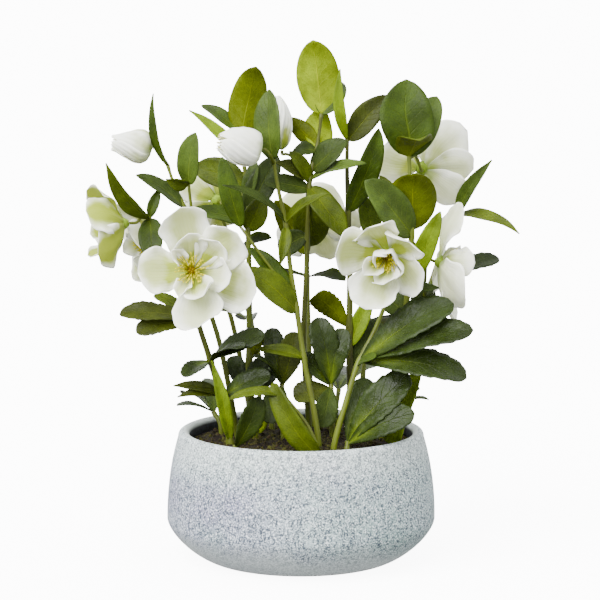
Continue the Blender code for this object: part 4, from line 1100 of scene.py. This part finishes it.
def thickened(obj, thickness):
    """Gives joined sheets their thickness; their backs take the second finish."""
    only(obj)
    solidify = obj.modifiers.new("thickness", "SOLIDIFY")
    solidify.thickness = thickness
    solidify.offset = 0.0
    solidify.material_offset = 1
    bpy.ops.object.modifier_apply(modifier=solidify.name)
    return obj


def smooth_route(points, pieces):
    """Points along a smooth curve through the given ones, in pieces, of which the first is straight."""
    ends = [points[0] * 2 - points[1], *points, points[-1] * 2 - points[-2]]
    route = []
    for place, (before, start, end, after) in enumerate(zip(ends, ends[1:], ends[2:], ends[3:])):
        count = pieces if place else 1
        for i in range(count):
            t = i / count
            bend = (2 * before - 5 * start + 4 * end - after) * t * t
            turn = (3 * start - before - 3 * end + after) * t * t * t
            route.append((2 * start + (end - before) * t + bend + turn) / 2)
    return [*route, points[-1]]


def stalk(name, points, radii, nodes, tones, finish):
    """A round tapered stalk along the points, a little swollen at its nodes."""
    curve = bpy.data.curves.new(name, "CURVE")
    curve.dimensions = "3D"
    curve.bevel_depth = MM
    curve.bevel_resolution = 4
    curve.use_fill_caps = True
    spline = curve.splines.new("POLY")
    spline.points.add(len(points) - 1)
    for i, point in enumerate(points):
        share = i / (len(points) - 1)
        near = min([(point - node).length for node in nodes], default=100.0)
        swell = 1 + NODE_SWELL * math.exp(-((near / NODE_REACH) ** 2))
        spline.points[i].co = (*(point * MM), 1.0)
        spline.points[i].radius = (radii[0] * (1 - share) + radii[1] * share) * swell
    only(new_object(name, curve))
    bpy.ops.object.convert(target="MESH")
    obj = bpy.context.active_object
    obj.name = name
    weld(obj.data)
    obj.data.materials.clear()
    obj.data.materials.append(finish)
    set_tone(obj.data, *tones)
    return obj


def weld(mesh):
    """Joins points that lie on one another and turns all faces outwards."""
    bm = bmesh.new()
    bm.from_mesh(mesh)
    bmesh.ops.remove_doubles(bm, verts=bm.verts, dist=WELD)
    bmesh.ops.recalc_face_normals(bm, faces=bm.faces)
    bm.to_mesh(mesh)
    bm.free()


def nearest_on(routes, point):
    """The point of the stalks' middle lines that lies nearest to the given one."""
    found = []
    for route in routes:
        for start, end in zip(route, route[1:]):
            step = end - start
            t = max(0.0, min(1.0, (point - start).dot(step) / step.length_squared))
            found.append(start + step * t)
    return min(found, key=lambda place: (place - point).length)


def leaf_rows(table):
    """The rows of a table of leaves: where each springs, its tip, its face, its width, outline and tone."""
    for row in table.strip().splitlines():
        *numbers, outline, tone = row.split()
        numbers = [float(number) for number in numbers]
        yield numbers[:3], numbers[3:6], numbers[6:9], numbers[9], outline, tone


def spoke(right, over, around):
    """The way out from a bloom's axis at that angle, from its right hand towards its top."""
    return right * math.cos(around) + over * math.sin(around)


def aimed(way):
    """The turn that points Z that way."""
    return way.to_track_quat("Z", "Y").to_matrix().to_4x4()


def two_finishes(kind, make, settings):
    """The finishes of the face and the back of a leaf or a tepal."""
    return [finish_of(f"{kind}_{side}", make, settings, side == "back") for side in ("face", "back")]


def bloom_frame(facing):
    """Three directions: the way a bloom faces, its right hand and its top, as seen by someone it faces."""
    axis = Vector(facing).normalized()
    right = Vector((0, 0, 1)).cross(axis)
    if right.length < 0.2:
        right = Vector((0, 1, 0)).cross(axis)
    right.normalize()
    return axis, right, axis.cross(right)


def flower_ends(spec):
    """The routes of a stem's side stalks, of which those to blooms and buds end just short of them."""
    ends = []
    for kind, table, gaps in (("blooms", BLOOMS, (SEAT_DEPTH + STALK_END, SEAT_DEPTH + TIP_GAP)),
                              ("buds", BUDS, (STALK_END / 2, TIP_GAP))):
        for flower, route in spec.get(kind, []):
            centre, facing = map(Vector, table[flower][:2])
            ends.append([*map(Vector, route), *(centre - facing.normalized() * gap for gap in gaps)])
    return ends + [[*map(Vector, twig)] for twig in spec.get("twigs", [])]


def leafy_piece(name, spec, settings):
    """A stalk with its twigs and leaves, as one piece that stands for the node of the same name."""
    luck = random.Random(name)
    stem = finish_of("stem", stem_finish, settings)
    faces = two_finishes("leaf", leaf_finish, settings)
    main = smooth_route([Vector(p) for p in spec["route"]], STEM_PIECES)
    twigs = [smooth_route(points, TWIG_PIECES) for points in flower_ends(spec)]
    routes = [main, *twigs]
    rows = list(leaf_rows(spec["leaves"]))
    roots = [nearest_on(routes, Vector(row[0])) for row in rows]
    green, brown = Vector(settings.stem), Vector(settings.stem_brown)
    shade = STEM_SHADES.get(name, STEM_SHADE)
    base, top = green.lerp(brown, shade * FOOT_SHADE), green.lerp(brown, shade)
    stalks = [stalk(f"{name}_stalk", main, spec["radii"], roots, (base, 1.0, top), stem)]
    for i, twig in enumerate(twigs):
        stalks.append(stalk(f"{name}_twig_{i}", twig, TWIG_RADII, [twig[0]], (top, 1.0), stem))
    blades = []
    for i, (_, tip, face, width, outline, tone) in enumerate(rows):
        shade = Vector(getattr(settings, tone)) * luck.uniform(*LEAF_TONES)
        look = {"least": 0.45, "cup": 1.4, **drawn(luck, LEAF_LUCK)}
        look["wave"] *= settings.wave * width
        if outline == "lobe":
            look.update(teeth=settings.teeth, tooth=settings.tooth)
        strength = 1.0 if tone == "basal" else luck.uniform(*VEIN_STRENGTHS)
        leaf = (roots[i], tip, face, width, outline)
        blades.append(blade(f"{name}_leaf_{i}", leaf, shade, strength, look, faces))
    leaves = thickened(joined(f"{name}_leaves", blades), settings.thickness)
    return dressed(joined(f"{name}_fine", [leaves, *stalks]), name)


def tepal_piece(name, spec, settings):
    """A bloom's tepals in two rings, on the small seat that they grow from."""
    luck = random.Random(name)
    faces = two_finishes("tepal", tepal_finish, settings)
    centre, facing, opening, outer, inner = spec
    centre = Vector(centre)
    axis, right, over = bloom_frame(facing)
    rings = [(outer, opening, "tepal", -1.4), (inner, opening - INNER_CLOSER, "inner_tepal", -0.4)]
    green = GREENER.get(name, BLOOM_GREEN)
    blades = []
    for places, angle, outline, lift in rings:
        for i, (around, length, width) in enumerate(places):
            out = spoke(right, over, math.radians(around))
            lean = math.radians(angle + TEPAL_STAGGER * (2 * i % RING_COUNT - 2)
                                + luck.uniform(-TEPAL_LEAN_LUCK, TEPAL_LEAN_LUCK))
            way = out * math.sin(lean) + axis * math.cos(lean)
            face = axis * math.sin(lean) - out * math.cos(lean)
            root = centre + out * TEPAL_ROOT_RADIUS + axis * lift
            look = {"least": 0.6, "cup": 1.8, "twist": TEPAL_TWIST, **drawn(luck, TEPAL_LUCK)}
            look["wave"] *= settings.ruffle / MM
            if outline == "inner_tepal":
                look["fold"] = luck.uniform(*(WIDE_FOLD if length > SMALL_TEPAL else TIGHT_FOLD))
            tepal = (root, root + way * length, face, width, outline)
            wash = luck.uniform(*WASH[outline]) * WASHED.get(name, 1.0)
            strength = green * luck.uniform(*TEPAL_GREENS)
            blades.append(blade(f"{name}_{outline}_{i}", tepal, (wash, 0.0, 0.0), strength, look, faces))
    petals = thickened(joined(f"{name}_sheets", blades), settings.thickness)
    seat = added(bpy.ops.mesh.primitive_cone_add, vertices=24, radius1=SEAT_FOOT_RADIUS * MM,
                 radius2=SEAT_TOP_RADIUS * MM, depth=SEAT_DEPTH * MM)
    place = Matrix((right, over, axis)).transposed().to_4x4()
    place.translation = (centre - axis * SEAT_DEPTH / 2) * MM
    seat.data.transform(place)
    set_tone(seat.data, settings.seat)
    seat.data.materials.append(finish_of("seat", toned_finish, 0.55, 300.0))
    return dressed(joined(f"tepals_{name}_fine", [petals, seat]), f"tepals_{name}")


def straight_stamen(settings):
    """A copy of one stamen along Z, a metre long: a thread with a plump anther."""
    found = bpy.data.meshes.get("blank_stamen")
    if found:
        return found.copy()
    thread = added(bpy.ops.mesh.primitive_cylinder_add, vertices=5, radius=THREAD_RADIUS, depth=0.9,
                   location=(0, 0, 0.45))
    bpy.ops.object.transform_apply(location=True, rotation=True, scale=True)
    set_tone(thread.data, settings.filament)
    anther = added(bpy.ops.mesh.primitive_uv_sphere_add, segments=8, ring_count=5, radius=ANTHER_RADIUS,
                   location=(0, 0, 0.93))
    anther.scale = (1.0, 0.75, 1.9)
    bpy.ops.object.transform_apply(location=True, rotation=True, scale=True)
    set_tone(anther.data, settings.anther)
    return pattern("blank_stamen", joined("blank_stamen", [thread, anther])).copy()


def stamen_piece(name, spec, settings):
    """A bloom's stamens and the carpels in its heart."""
    luck = random.Random(f"stamens {name}")
    centre = Vector(spec[0])
    axis, right, over = bloom_frame(spec[1])
    turned = Matrix((right, over, axis)).transposed().to_4x4()
    heart = added(bpy.ops.mesh.primitive_uv_sphere_add, segments=20, ring_count=10, radius=1.0)
    place = turned @ Matrix.Diagonal([radius * MM for radius in HEART_RADII] + [1.0])
    place.translation = (centre + axis * HEART_LIFT) * MM
    heart.data.transform(place)
    set_tone(heart.data, settings.heart)
    pieces = [heart]
    spread = math.radians(spec[2] - INNER_CLOSER + 2)
    for i in range(settings.stamens):
        share = (i + 0.5) / settings.stamens
        lean = 0.30 + (spread - 0.15) * share**0.6 * luck.uniform(0.85, 1.05)
        out = spoke(right, over, i * GOLDEN_ANGLE + luck.uniform(-0.2, 0.2))
        way = out * math.sin(lean) + axis * math.cos(lean)
        length = settings.stamen_length / MM * luck.uniform(0.72, 1.0) * (0.80 + 0.20 * share)
        root = centre + axis * 1.6 + out * (0.8 + 1.6 * math.sqrt(share))
        mesh = straight_stamen(settings)
        co = points_of(mesh)
        bend = luck.uniform(0.04, 0.14)
        co[:, 0] += bend * np.sin(math.pi * np.clip(co[:, 2], 0, 1))
        co[:, :2] *= STAMEN_WIDTH_AT / length
        set_points(mesh, co / MM)
        spin = aimed(way) @ Matrix.Rotation(luck.uniform(0, FULL_TURN), 4, "Z")
        mesh.transform(Matrix.Translation(root * MM) @ spin @ Matrix.Scale(length * MM, 4))
        pieces.append(new_object(f"{name}_stamen_{i}", mesh))
    for i in range(CARPELS):
        out = spoke(right, over, i * 2 * math.pi / CARPELS + 0.4)
        carpel = added(bpy.ops.mesh.primitive_cone_add, vertices=8, radius1=CARPEL_FOOT_RADIUS * MM,
                       radius2=CARPEL_TIP_RADIUS * MM, depth=CARPEL_LENGTH * MM)
        move = aimed((axis + out * CARPEL_LEAN).normalized())
        move.translation = (centre + axis * CARPEL_LIFT + out * CARPEL_OUT) * MM
        carpel.data.transform(move)
        set_tone(carpel.data, Vector(settings.heart).lerp(Vector(settings.filament), 0.35))
        pieces.append(carpel)
    whole = joined(f"stamens_{name}_fine", pieces)
    whole.data.materials.clear()
    whole.data.materials.append(finish_of("stamens", toned_finish, 0.65, 900.0))
    whole.data.polygons.foreach_set("material_index", [0] * len(whole.data.polygons))
    return dressed(whole, f"stamens_{name}")


def bud_piece(name, spec, settings):
    """A bud: overlapping tepals wrapped round a closed core, and stamens in the mouth of one that opens."""
    luck = random.Random(f"bud {name}")
    centre, pointing, length, width = spec
    axis, right, over = (np.array(v) for v in bloom_frame(pointing))
    shape = BUD_SHAPES.get(name, BUD_SHAPES["other"])
    opens = name in OPENING
    faces = two_finishes("tepal", tepal_finish, settings)

    def laid(share, around, radius):
        out = np.outer(np.cos(around), right) + np.outer(np.sin(around), over)
        return np.array(centre) + out * radius[:, None] + np.outer(length * share, axis)

    def full(share):
        soft = [np.interp(np.clip(share + step, 0, 1), *shape) for step in (-0.02, 0, 0.02)]
        return width / 2 * sum(soft) / 3 * ramp(share, 0.0, 0.03)

    sheets = []
    for i in range(RING_COUNT):
        mesh, x, t = flat_blade("tepal")
        x = -x
        end = ramp(t, 0.8, 0.2)
        share = t * (1.0 - 0.05 * luck.random() + (0.05 if opens else 0.02) * end * np.sin(7 * x + i))
        share = np.clip(share, 0.0, 1.0)
        cover = BUD_COVER * (1 - 0.40 * ramp(t, 0.75, 0.25) ** 2)
        around = 2 * math.pi * (i / RING_COUNT + 0.20 * share) + x * cover
        lap = 0.60 * x + 0.45 * (i % 2) + 0.28 * np.cos(3.4 * math.pi * x + i)
        fray = (1.1 if opens else 0.5) * np.sin(9 * x + i) * end
        radius = full(share) + (lap + fray) * np.clip(np.sin(math.pi * t), 0.15, 1)
        set_points(mesh, laid(share, around, radius))
        set_tone(mesh, BUD_TONE, GREENER.get(f"bud_{name}", BUD_GREEN))
        for finish in reversed(faces):
            mesh.materials.append(finish)
        sheets.append(new_object(f"bud_{name}_{i}", mesh))
    wrap = thickened(joined(f"bud_{name}_sheets", sheets), settings.thickness)
    core = added(bpy.ops.mesh.primitive_uv_sphere_add, segments=24, ring_count=16, radius=1.0)
    flat = points_of(core.data)
    share = ramp(flat[:, 2], -1, 2)
    closing = np.sqrt(ramp(share, 1, -0.12))
    radius = np.clip((full(share) - 0.9) * closing, 0.03, None)
    set_points(core.data, laid(0.93 * share, np.arctan2(flat[:, 1], flat[:, 0]), radius))
    set_tone(core.data, BUD_CORE_TONE)
    core.data.materials.append(finish_of("bud_core", toned_finish, 0.6, 300.0))
    pieces = [wrap, core]
    for i in range(BUD_STAMENS if opens else 0):
        out = spoke(right, over, i * GOLDEN_ANGLE)
        mesh = straight_stamen(settings)
        spin = aimed(Vector(axis + out * 0.25).normalized())
        root = Vector(np.array(centre) + axis * length * 0.80 + out * width * 0.12)
        mesh.transform(Matrix.Translation(root * MM) @ spin @ Matrix.Scale(luck.uniform(6.0, 8.0) * MM, 4))
        mesh.materials.append(finish_of("stamens", toned_finish, 0.65, 900.0))
        pieces.append(new_object(f"bud_{name}_stamen_{i}", mesh))
    return dressed(joined(f"bud_{name}_fine", pieces), f"bud_{name}")


def bowl_profile():
    """The bowl's outline down from the middle of its floor, over the lip, and under the foot."""
    lip = BOWL_LIP_OUTER_RADIUS - BOWL_WALL
    widest = BOWL_WIDEST_RADIUS - BOWL_WALL
    points = [(0.0, BOWL_FLOOR), (HOLLOW_FLOOR_RADIUS * 0.5, BOWL_FLOOR)]
    for i in range(HOLLOW_STEPS + 1):
        a = math.pi / 2 * (1 - i / HOLLOW_STEPS)
        reach = (widest - HOLLOW_FLOOR_RADIUS) * math.cos(a)
        height = BOWL_FLOOR + (HOLLOW_WIDEST_HEIGHT - BOWL_FLOOR) * (1 - math.sin(a))
        points.append((HOLLOW_FLOOR_RADIUS + reach, height))
    for i in range(1, WALL_STEPS + 1):
        share = 1 - i / WALL_STEPS
        height = HOLLOW_TOP_HEIGHT * (1 - share) + HOLLOW_WIDEST_HEIGHT * share
        points.append((lip + (widest - lip) * math.sin(math.pi / 2 * share) ** WALL_CURVE, height))
    middle = BOWL_LIP_OUTER_RADIUS - BOWL_WALL / 2
    for i in range(LIP_STEPS + 1):
        a = math.pi * i / LIP_STEPS
        height = BOWL_HEIGHT - BOWL_LIP_HEIGHT * (1 - math.sin(a) ** LIP_CURVE)
        points.append((middle - BOWL_WALL / 2 * math.cos(a), height))
    rise = BOWL_HEIGHT - BOWL_LIP_HEIGHT - BOWL_WIDEST_HEIGHT
    for i in range(1, SIDE_STEPS + 1):
        share = 1 - i / SIDE_STEPS
        pull = (BOWL_WIDEST_RADIUS - BOWL_LIP_OUTER_RADIUS) * share**SIDE_CURVE
        points.append((BOWL_WIDEST_RADIUS - pull, BOWL_WIDEST_HEIGHT + rise * share))
    for i in range(1, BELLY_STEPS + 1):
        share = (1 - i / BELLY_STEPS) ** BELLY_CLOSER
        reach = (1 - (1 - share) ** BELLY_CURVE) ** (1 / BELLY_FULLNESS)
        radius = BOWL_FOOT_RADIUS + (BOWL_WIDEST_RADIUS - BOWL_FOOT_RADIUS) * reach
        points.append((radius, BOWL_WIDEST_HEIGHT * share))
    return [*points, (BOWL_FOOT_RADIUS * FOOT_FLAT, 0.0), (0.0, 0.0)]


def turned(name, outline, segments):
    """A solid turned about Z from an outline of radii and heights."""
    mesh = bpy.data.meshes.new(name)
    edges = [(i, i + 1) for i in range(len(outline) - 1)]
    mesh.from_pydata([(r * MM, 0.0, z * MM) for r, z in outline], edges, [])
    obj = only(new_object(name, mesh))
    screw = obj.modifiers.new("turn", "SCREW")
    screw.steps = segments
    screw.render_steps = segments
    screw.use_merge_vertices = True
    screw.merge_threshold = WELD
    bpy.ops.object.modifier_apply(modifier=screw.name)
    weld(obj.data)
    return obj


def soil_top(x, y, settings, fade=1.0):
    """The soil's height at a place: a mound with wide swells and, as far as they don't fade, clods."""
    share = min(1.0, math.hypot(x, y) / (BOWL_LIP_OUTER_RADIUS - BOWL_WALL))
    swell = math.sin(0.19 * x + 0.7) * math.cos(0.16 * y) + 0.7 * math.sin(0.31 * y - 0.23 * x)
    mound = SOIL_EDGE_HEIGHT + SOIL_MOUND * (1 - share**2) ** 0.8 + 1.1 * swell * (1 - share**6)
    coarse = noise.fractal(Vector((x * 0.16, y * 0.16, 3.0)), 0.8, 2.1, 4)
    fine = noise.noise(Vector((x * 0.9, y * 0.9, 8.0)))
    return mound + settings.clod_height / MM * (0.8 * coarse + 0.35 * fine) * fade


def spot(luck, reach):
    """A place on the soil, drawn from within that distance of its middle."""
    radius, around = reach * math.sqrt(luck.random()), luck.uniform(0, 2 * math.pi)
    return radius * math.cos(around), radius * math.sin(around)


def lay_crumbs(bm, luck, settings, rim):
    """Lays loose crumbs and a few grains of grit on the soil; gives the tone of every point."""
    dark, dry, moss, grit = map(Vector, (settings.earth, settings.dry, settings.moss, settings.grit))
    crumb = added(bpy.ops.mesh.primitive_ico_sphere_add, subdivisions=1, radius=1.0)
    tones = []
    for i in range(settings.crumbs):
        x, y = spot(luck, rim - CRUMB_MARGIN)
        size = luck.uniform(*(CRUMB_SIZES if luck.random() < SMALL_CRUMBS else BIG_CRUMB_SIZES))
        tone = dark.lerp(dry, luck.random() ** 2 * 0.9)
        tone = tone.lerp(moss, luck.random() ** 2 * 0.9)
        if i % GRIT_EVERY == 7:
            tone, size = grit, luck.uniform(*GRIT_SIZES)
        z = soil_top(x, y, settings) + size * 0.25
        shape = Matrix.Diagonal((size, size * luck.uniform(0.6, 1.0), size * luck.uniform(0.5, 0.9), 1.0))
        turn = Euler([luck.uniform(0, FULL_TURN) for _ in range(3)]).to_matrix().to_4x4()
        before = len(bm.verts)
        bm.from_mesh(crumb.data)
        bm.verts.ensure_lookup_table()
        fresh = bm.verts[before:]
        move = Matrix.Translation((x * MM, y * MM, z * MM)) @ turn @ shape @ Matrix.Scale(MM, 4)
        bmesh.ops.transform(bm, verts=fresh, matrix=move)
        for vert in fresh:
            vert.co += Vector([luck.uniform(-CRUMB_DENTS, CRUMB_DENTS) for _ in range(3)]) * size * MM
        tones += [(*tone, 1.0)] * len(fresh)
    bpy.data.objects.remove(crumb)
    return tones


def lay_fibres(bm, luck, settings, rim):
    """Lays bent three-sided fibres on the soil; gives the tone of every point."""
    dry, moss = Vector(settings.dry), Vector(settings.moss)
    tones = []
    for _ in range(settings.fibres):
        x, y = spot(luck, rim - FIBRE_MARGIN)
        way, bend = luck.uniform(0, FULL_TURN), luck.uniform(*FIBRE_BENDS)
        length = luck.uniform(*FIBRE_LENGTHS)
        tone = moss.lerp(dry, luck.random() * 0.8) * luck.uniform(0.7, 1.6)
        last = None
        for step in range(FIBRE_STEPS):
            share = step / (FIBRE_STEPS - 1)
            px = x + length * share * math.cos(way + bend * share)
            py = y + length * share * math.sin(way + bend * share)
            pz = soil_top(px, py, settings) + FIBRE_LIFT
            centre = Vector((px, py, pz + FIBRE_ARCH * math.sin(math.pi * share)))
            ring = []
            for corner in range(3):
                a = corner * THIRD_TURN
                offset = Vector((-math.sin(way) * math.cos(a), math.cos(way) * math.cos(a), math.sin(a)))
                ring.append(bm.verts.new((centre + offset * FIBRE_RADIUS * (1.1 - share)) * MM))
            if last:
                for corner in range(3):
                    after = (corner + 1) % 3
                    bm.faces.new((last[corner], last[after], ring[after], ring[corner]))
            else:
                bm.faces.new(ring[::-1])
            last = ring
            tones += [(*tone, 1.0)] * 3
        bm.faces.new(last)
    return tones


class HELLEBORE_OT_bowl(bpy.types.Operator):
    """Turn the stoneware bowl"""

    bl_idname = "hellebore.bowl"
    bl_label = "Bowl"

    def execute(self, context):
        settings = context.scene.hellebore_bowl
        bowl = turned("bowl_fine", bowl_profile(), settings.segments)
        bowl.data.materials.append(finish_of("speckled_stoneware", stoneware_finish, settings))
        bowl.data.materials.append(finish_of("inner_stoneware", hollow_finish, settings))
        inner = (BOWL_LIP_OUTER_RADIUS - BOWL_WALL * 0.93) * MM
        for face in bowl.data.polygons:
            centre, normal = face.center, face.normal
            inwards = centre.x * normal.x + centre.y * normal.y < 0 and centre.z > INWARDS_FROM
            floor = normal.z > 0 and centre.z > (BOWL_FLOOR - 1) * MM and centre.xy.length < inner
            face.material_index = 1 if inwards or floor else 0
        for vert in bowl.data.vertices:
            x, y, z = vert.co
            if 1.0 < z / MM < BOWL_HEIGHT - 1.0 and math.hypot(x, y) > WOBBLE_FROM:
                fade = math.sin(math.pi * z / MM / BOWL_HEIGHT)
                vert.co *= 1 + WOBBLE * noise.noise(Vector((x, y, z)) * WOBBLE_SIZE) * fade
        dressed(bowl, "bowl")
        return {"FINISHED"}


class HELLEBORE_OT_soil(bpy.types.Operator):
    """Fill the bowl with broken compost, loose crumbs, grit and moss fibres"""

    bl_idname = "hellebore.soil"
    bl_label = "Soil"

    def execute(self, context):
        settings = context.scene.hellebore_soil
        rim = BOWL_LIP_OUTER_RADIUS - BOWL_WALL - SOIL_GAP
        top = [(rim * i / SOIL_RINGS, SOIL_EDGE_HEIGHT) for i in range(SOIL_RINGS)]
        widest = BOWL_WIDEST_RADIUS - BOWL_WALL - SOIL_GAP
        side = [(rim, SOIL_EDGE_HEIGHT - 0.5), (widest, HOLLOW_WIDEST_HEIGHT), (widest - 14, 18.0),
                (HOLLOW_FLOOR_RADIUS, BOWL_FLOOR + SOIL_GAP), (0.0, BOWL_FLOOR + SOIL_GAP)]
        soil = turned("soil_fine", [*top, *side], SOIL_SEGMENTS)
        for vert in soil.data.vertices:
            if vert.co.z > (SOIL_EDGE_HEIGHT - 0.2) * MM:
                x, y = vert.co.x / MM, vert.co.y / MM
                fade = min(1.0, (rim - math.hypot(x, y)) / 4)
                vert.co.z = soil_top(x, y, settings, fade) * MM
        soil.data.materials.append(finish_of("compost", soil_finish, settings))
        dressed(soil, "soil")
        luck = random.Random("compost")
        for name, lay in (("soil_crumbs", lay_crumbs), ("moss_fibres", lay_fibres)):
            bm = bmesh.new()
            tones = lay(bm, luck, settings, rim)
            mesh = bpy.data.meshes.new(name)
            bm.to_mesh(mesh)
            bm.free()
            layer = mesh.attributes.new("tone", "FLOAT_COLOR", "POINT")
            layer.data.foreach_set("color", np.array(tones, dtype=np.float32).ravel())
            mesh.materials.append(finish_of("crumbs", toned_finish, 0.9, 1200.0))
            dressed(new_object(name, mesh))
        return {"FINISHED"}


class HELLEBORE_OT_stems(bpy.types.Operator):
    """Grow the leafy flower stems"""

    bl_idname = "hellebore.stems"
    bl_label = "Leafy stems"

    def execute(self, context):
        for name, spec in LEAFY_STEMS.items():
            leafy_piece(name, spec, context.scene.hellebore_leaves)
        return {"FINISHED"}


class HELLEBORE_OT_ground_leaves(bpy.types.Operator):
    """Grow the cut leaves and the straps that rise from the soil"""

    bl_idname = "hellebore.ground_leaves"
    bl_label = "Ground leaves"

    def execute(self, context):
        for name, spec in GROUND_LEAVES.items():
            leafy_piece(name, spec, context.scene.hellebore_leaves)
        return {"FINISHED"}


class HELLEBORE_OT_tepals(bpy.types.Operator):
    """Open the tepals of the blooms"""

    bl_idname = "hellebore.tepals"
    bl_label = "Tepals"

    def execute(self, context):
        for name, spec in BLOOMS.items():
            tepal_piece(name, spec, context.scene.hellebore_blooms)
        return {"FINISHED"}


class HELLEBORE_OT_stamens(bpy.types.Operator):
    """Set the stamens and carpels in the blooms"""

    bl_idname = "hellebore.stamens"
    bl_label = "Stamens"

    def execute(self, context):
        for name, spec in BLOOMS.items():
            stamen_piece(name, spec, context.scene.hellebore_blooms)
        return {"FINISHED"}


class HELLEBORE_OT_buds(bpy.types.Operator):
    """Wrap the buds"""

    bl_idname = "hellebore.buds"
    bl_label = "Buds"

    def execute(self, context):
        for name, spec in BUDS.items():
            bud_piece(name, spec, context.scene.hellebore_blooms)
        return {"FINISHED"}


class HELLEBORE_OT_stage(bpy.types.Operator):
    """Set the floor, the soft lights and the camera"""

    bl_idname = "hellebore.stage"
    bl_label = "Stage"

    def execute(self, context):
        settings = context.scene.hellebore_stage
        place = (0, 0, FLOOR_HEIGHT)
        floor = added(bpy.ops.mesh.primitive_plane_add, size=settings.floor_size, location=place)
        floor.name = "floor"
        floor.data.materials.append(finish_of("floor_sheet", floor_finish, settings))
        floor.visible_diffuse = False
        floor.visible_glossy = False
        context.scene.world = self.dome(settings)
        key = added(bpy.ops.object.light_add, type="SUN", location=KEY_PLACE)
        key.name = "key"
        key.data.energy = settings.key
        key.data.angle = KEY_ANGLE
        key.rotation_euler = (-key.location).to_track_quat("-Z", "Y").to_euler()
        place = (0.0, -settings.camera_distance, settings.camera_height)
        camera = added(bpy.ops.object.camera_add, location=place)
        way = Vector((0.0, 0.0, settings.aim_height)) - camera.location
        camera.rotation_euler = way.to_track_quat("-Z", "Y").to_euler()
        camera.data.lens = CAMERA_LENS
        camera.data.sensor_width = CAMERA_SENSOR
        camera.data.shift_x = CAMERA_SHIFT
        context.scene.camera = camera
        return {"FINISHED"}

    def dome(self, settings):
        """Soft light from all around, stronger from above than from below."""
        world = bpy.data.worlds.new("studio")
        world.use_nodes = True
        nodes, links = world.node_tree.nodes, world.node_tree.links
        way = nodes.new("ShaderNodeTexCoord")
        parts = nodes.new("ShaderNodeSeparateXYZ")
        rise = nodes.new("ShaderNodeMapRange")
        rise.inputs["From Min"].default_value = -HORIZON
        rise.inputs["From Max"].default_value = HORIZON
        rise.inputs["To Min"].default_value = settings.bounce
        rise.inputs["To Max"].default_value = settings.sky
        links.new(way.outputs["Generated"], parts.inputs["Vector"])
        links.new(parts.outputs["Z"], rise.inputs["Value"])
        links.new(rise.outputs["Result"], nodes["Background"].inputs["Strength"])
        nodes["Background"].inputs["Color"].default_value = SKY_COLOUR
        return world


class HELLEBORE_PT_panel(bpy.types.Panel):
    """Sizes and colours of the potted hellebore"""

    bl_idname = "HELLEBORE_PT_panel"
    bl_label = "Potted hellebore"
    bl_space_type = "VIEW_3D"
    bl_region_type = "UI"
    bl_category = "Hellebore"

    def draw(self, context):
        for name, group in GROUPS.items():
            settings = getattr(context.scene, name)
            column = self.layout.column()
            for key in group.__annotations__:
                column.prop(settings, key)
        for operator in OPERATORS:
            self.layout.operator(operator.bl_idname)


GROUPS = {
    "hellebore_bowl": BowlSettings,
    "hellebore_soil": SoilSettings,
    "hellebore_leaves": LeafSettings,
    "hellebore_blooms": BloomSettings,
    "hellebore_stage": StageSettings,
}
OPERATORS = (
    HELLEBORE_OT_bowl,
    HELLEBORE_OT_soil,
    HELLEBORE_OT_stems,
    HELLEBORE_OT_ground_leaves,
    HELLEBORE_OT_tepals,
    HELLEBORE_OT_stamens,
    HELLEBORE_OT_buds,
    HELLEBORE_OT_stage,
)


def register():
    for group in GROUPS.values():
        bpy.utils.register_class(group)
    for name, group in GROUPS.items():
        setattr(bpy.types.Scene, name, PointerProperty(type=group))
    for cls in (*OPERATORS, HELLEBORE_PT_panel):
        bpy.utils.register_class(cls)


def unregister():
    for cls in (HELLEBORE_PT_panel, *reversed(OPERATORS)):
        bpy.utils.unregister_class(cls)
    for name in GROUPS:
        delattr(bpy.types.Scene, name)
    for group in GROUPS.values():
        bpy.utils.unregister_class(group)


def main():
    register()
    bpy.ops.hellebore.bowl()
    bpy.ops.hellebore.soil()
    bpy.ops.hellebore.stems()
    bpy.ops.hellebore.ground_leaves()
    bpy.ops.hellebore.tepals()
    bpy.ops.hellebore.stamens()
    bpy.ops.hellebore.buds()
    bpy.ops.hellebore.stage()
    deselect_all()
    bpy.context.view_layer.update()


if __name__ == "__main__":
    main()
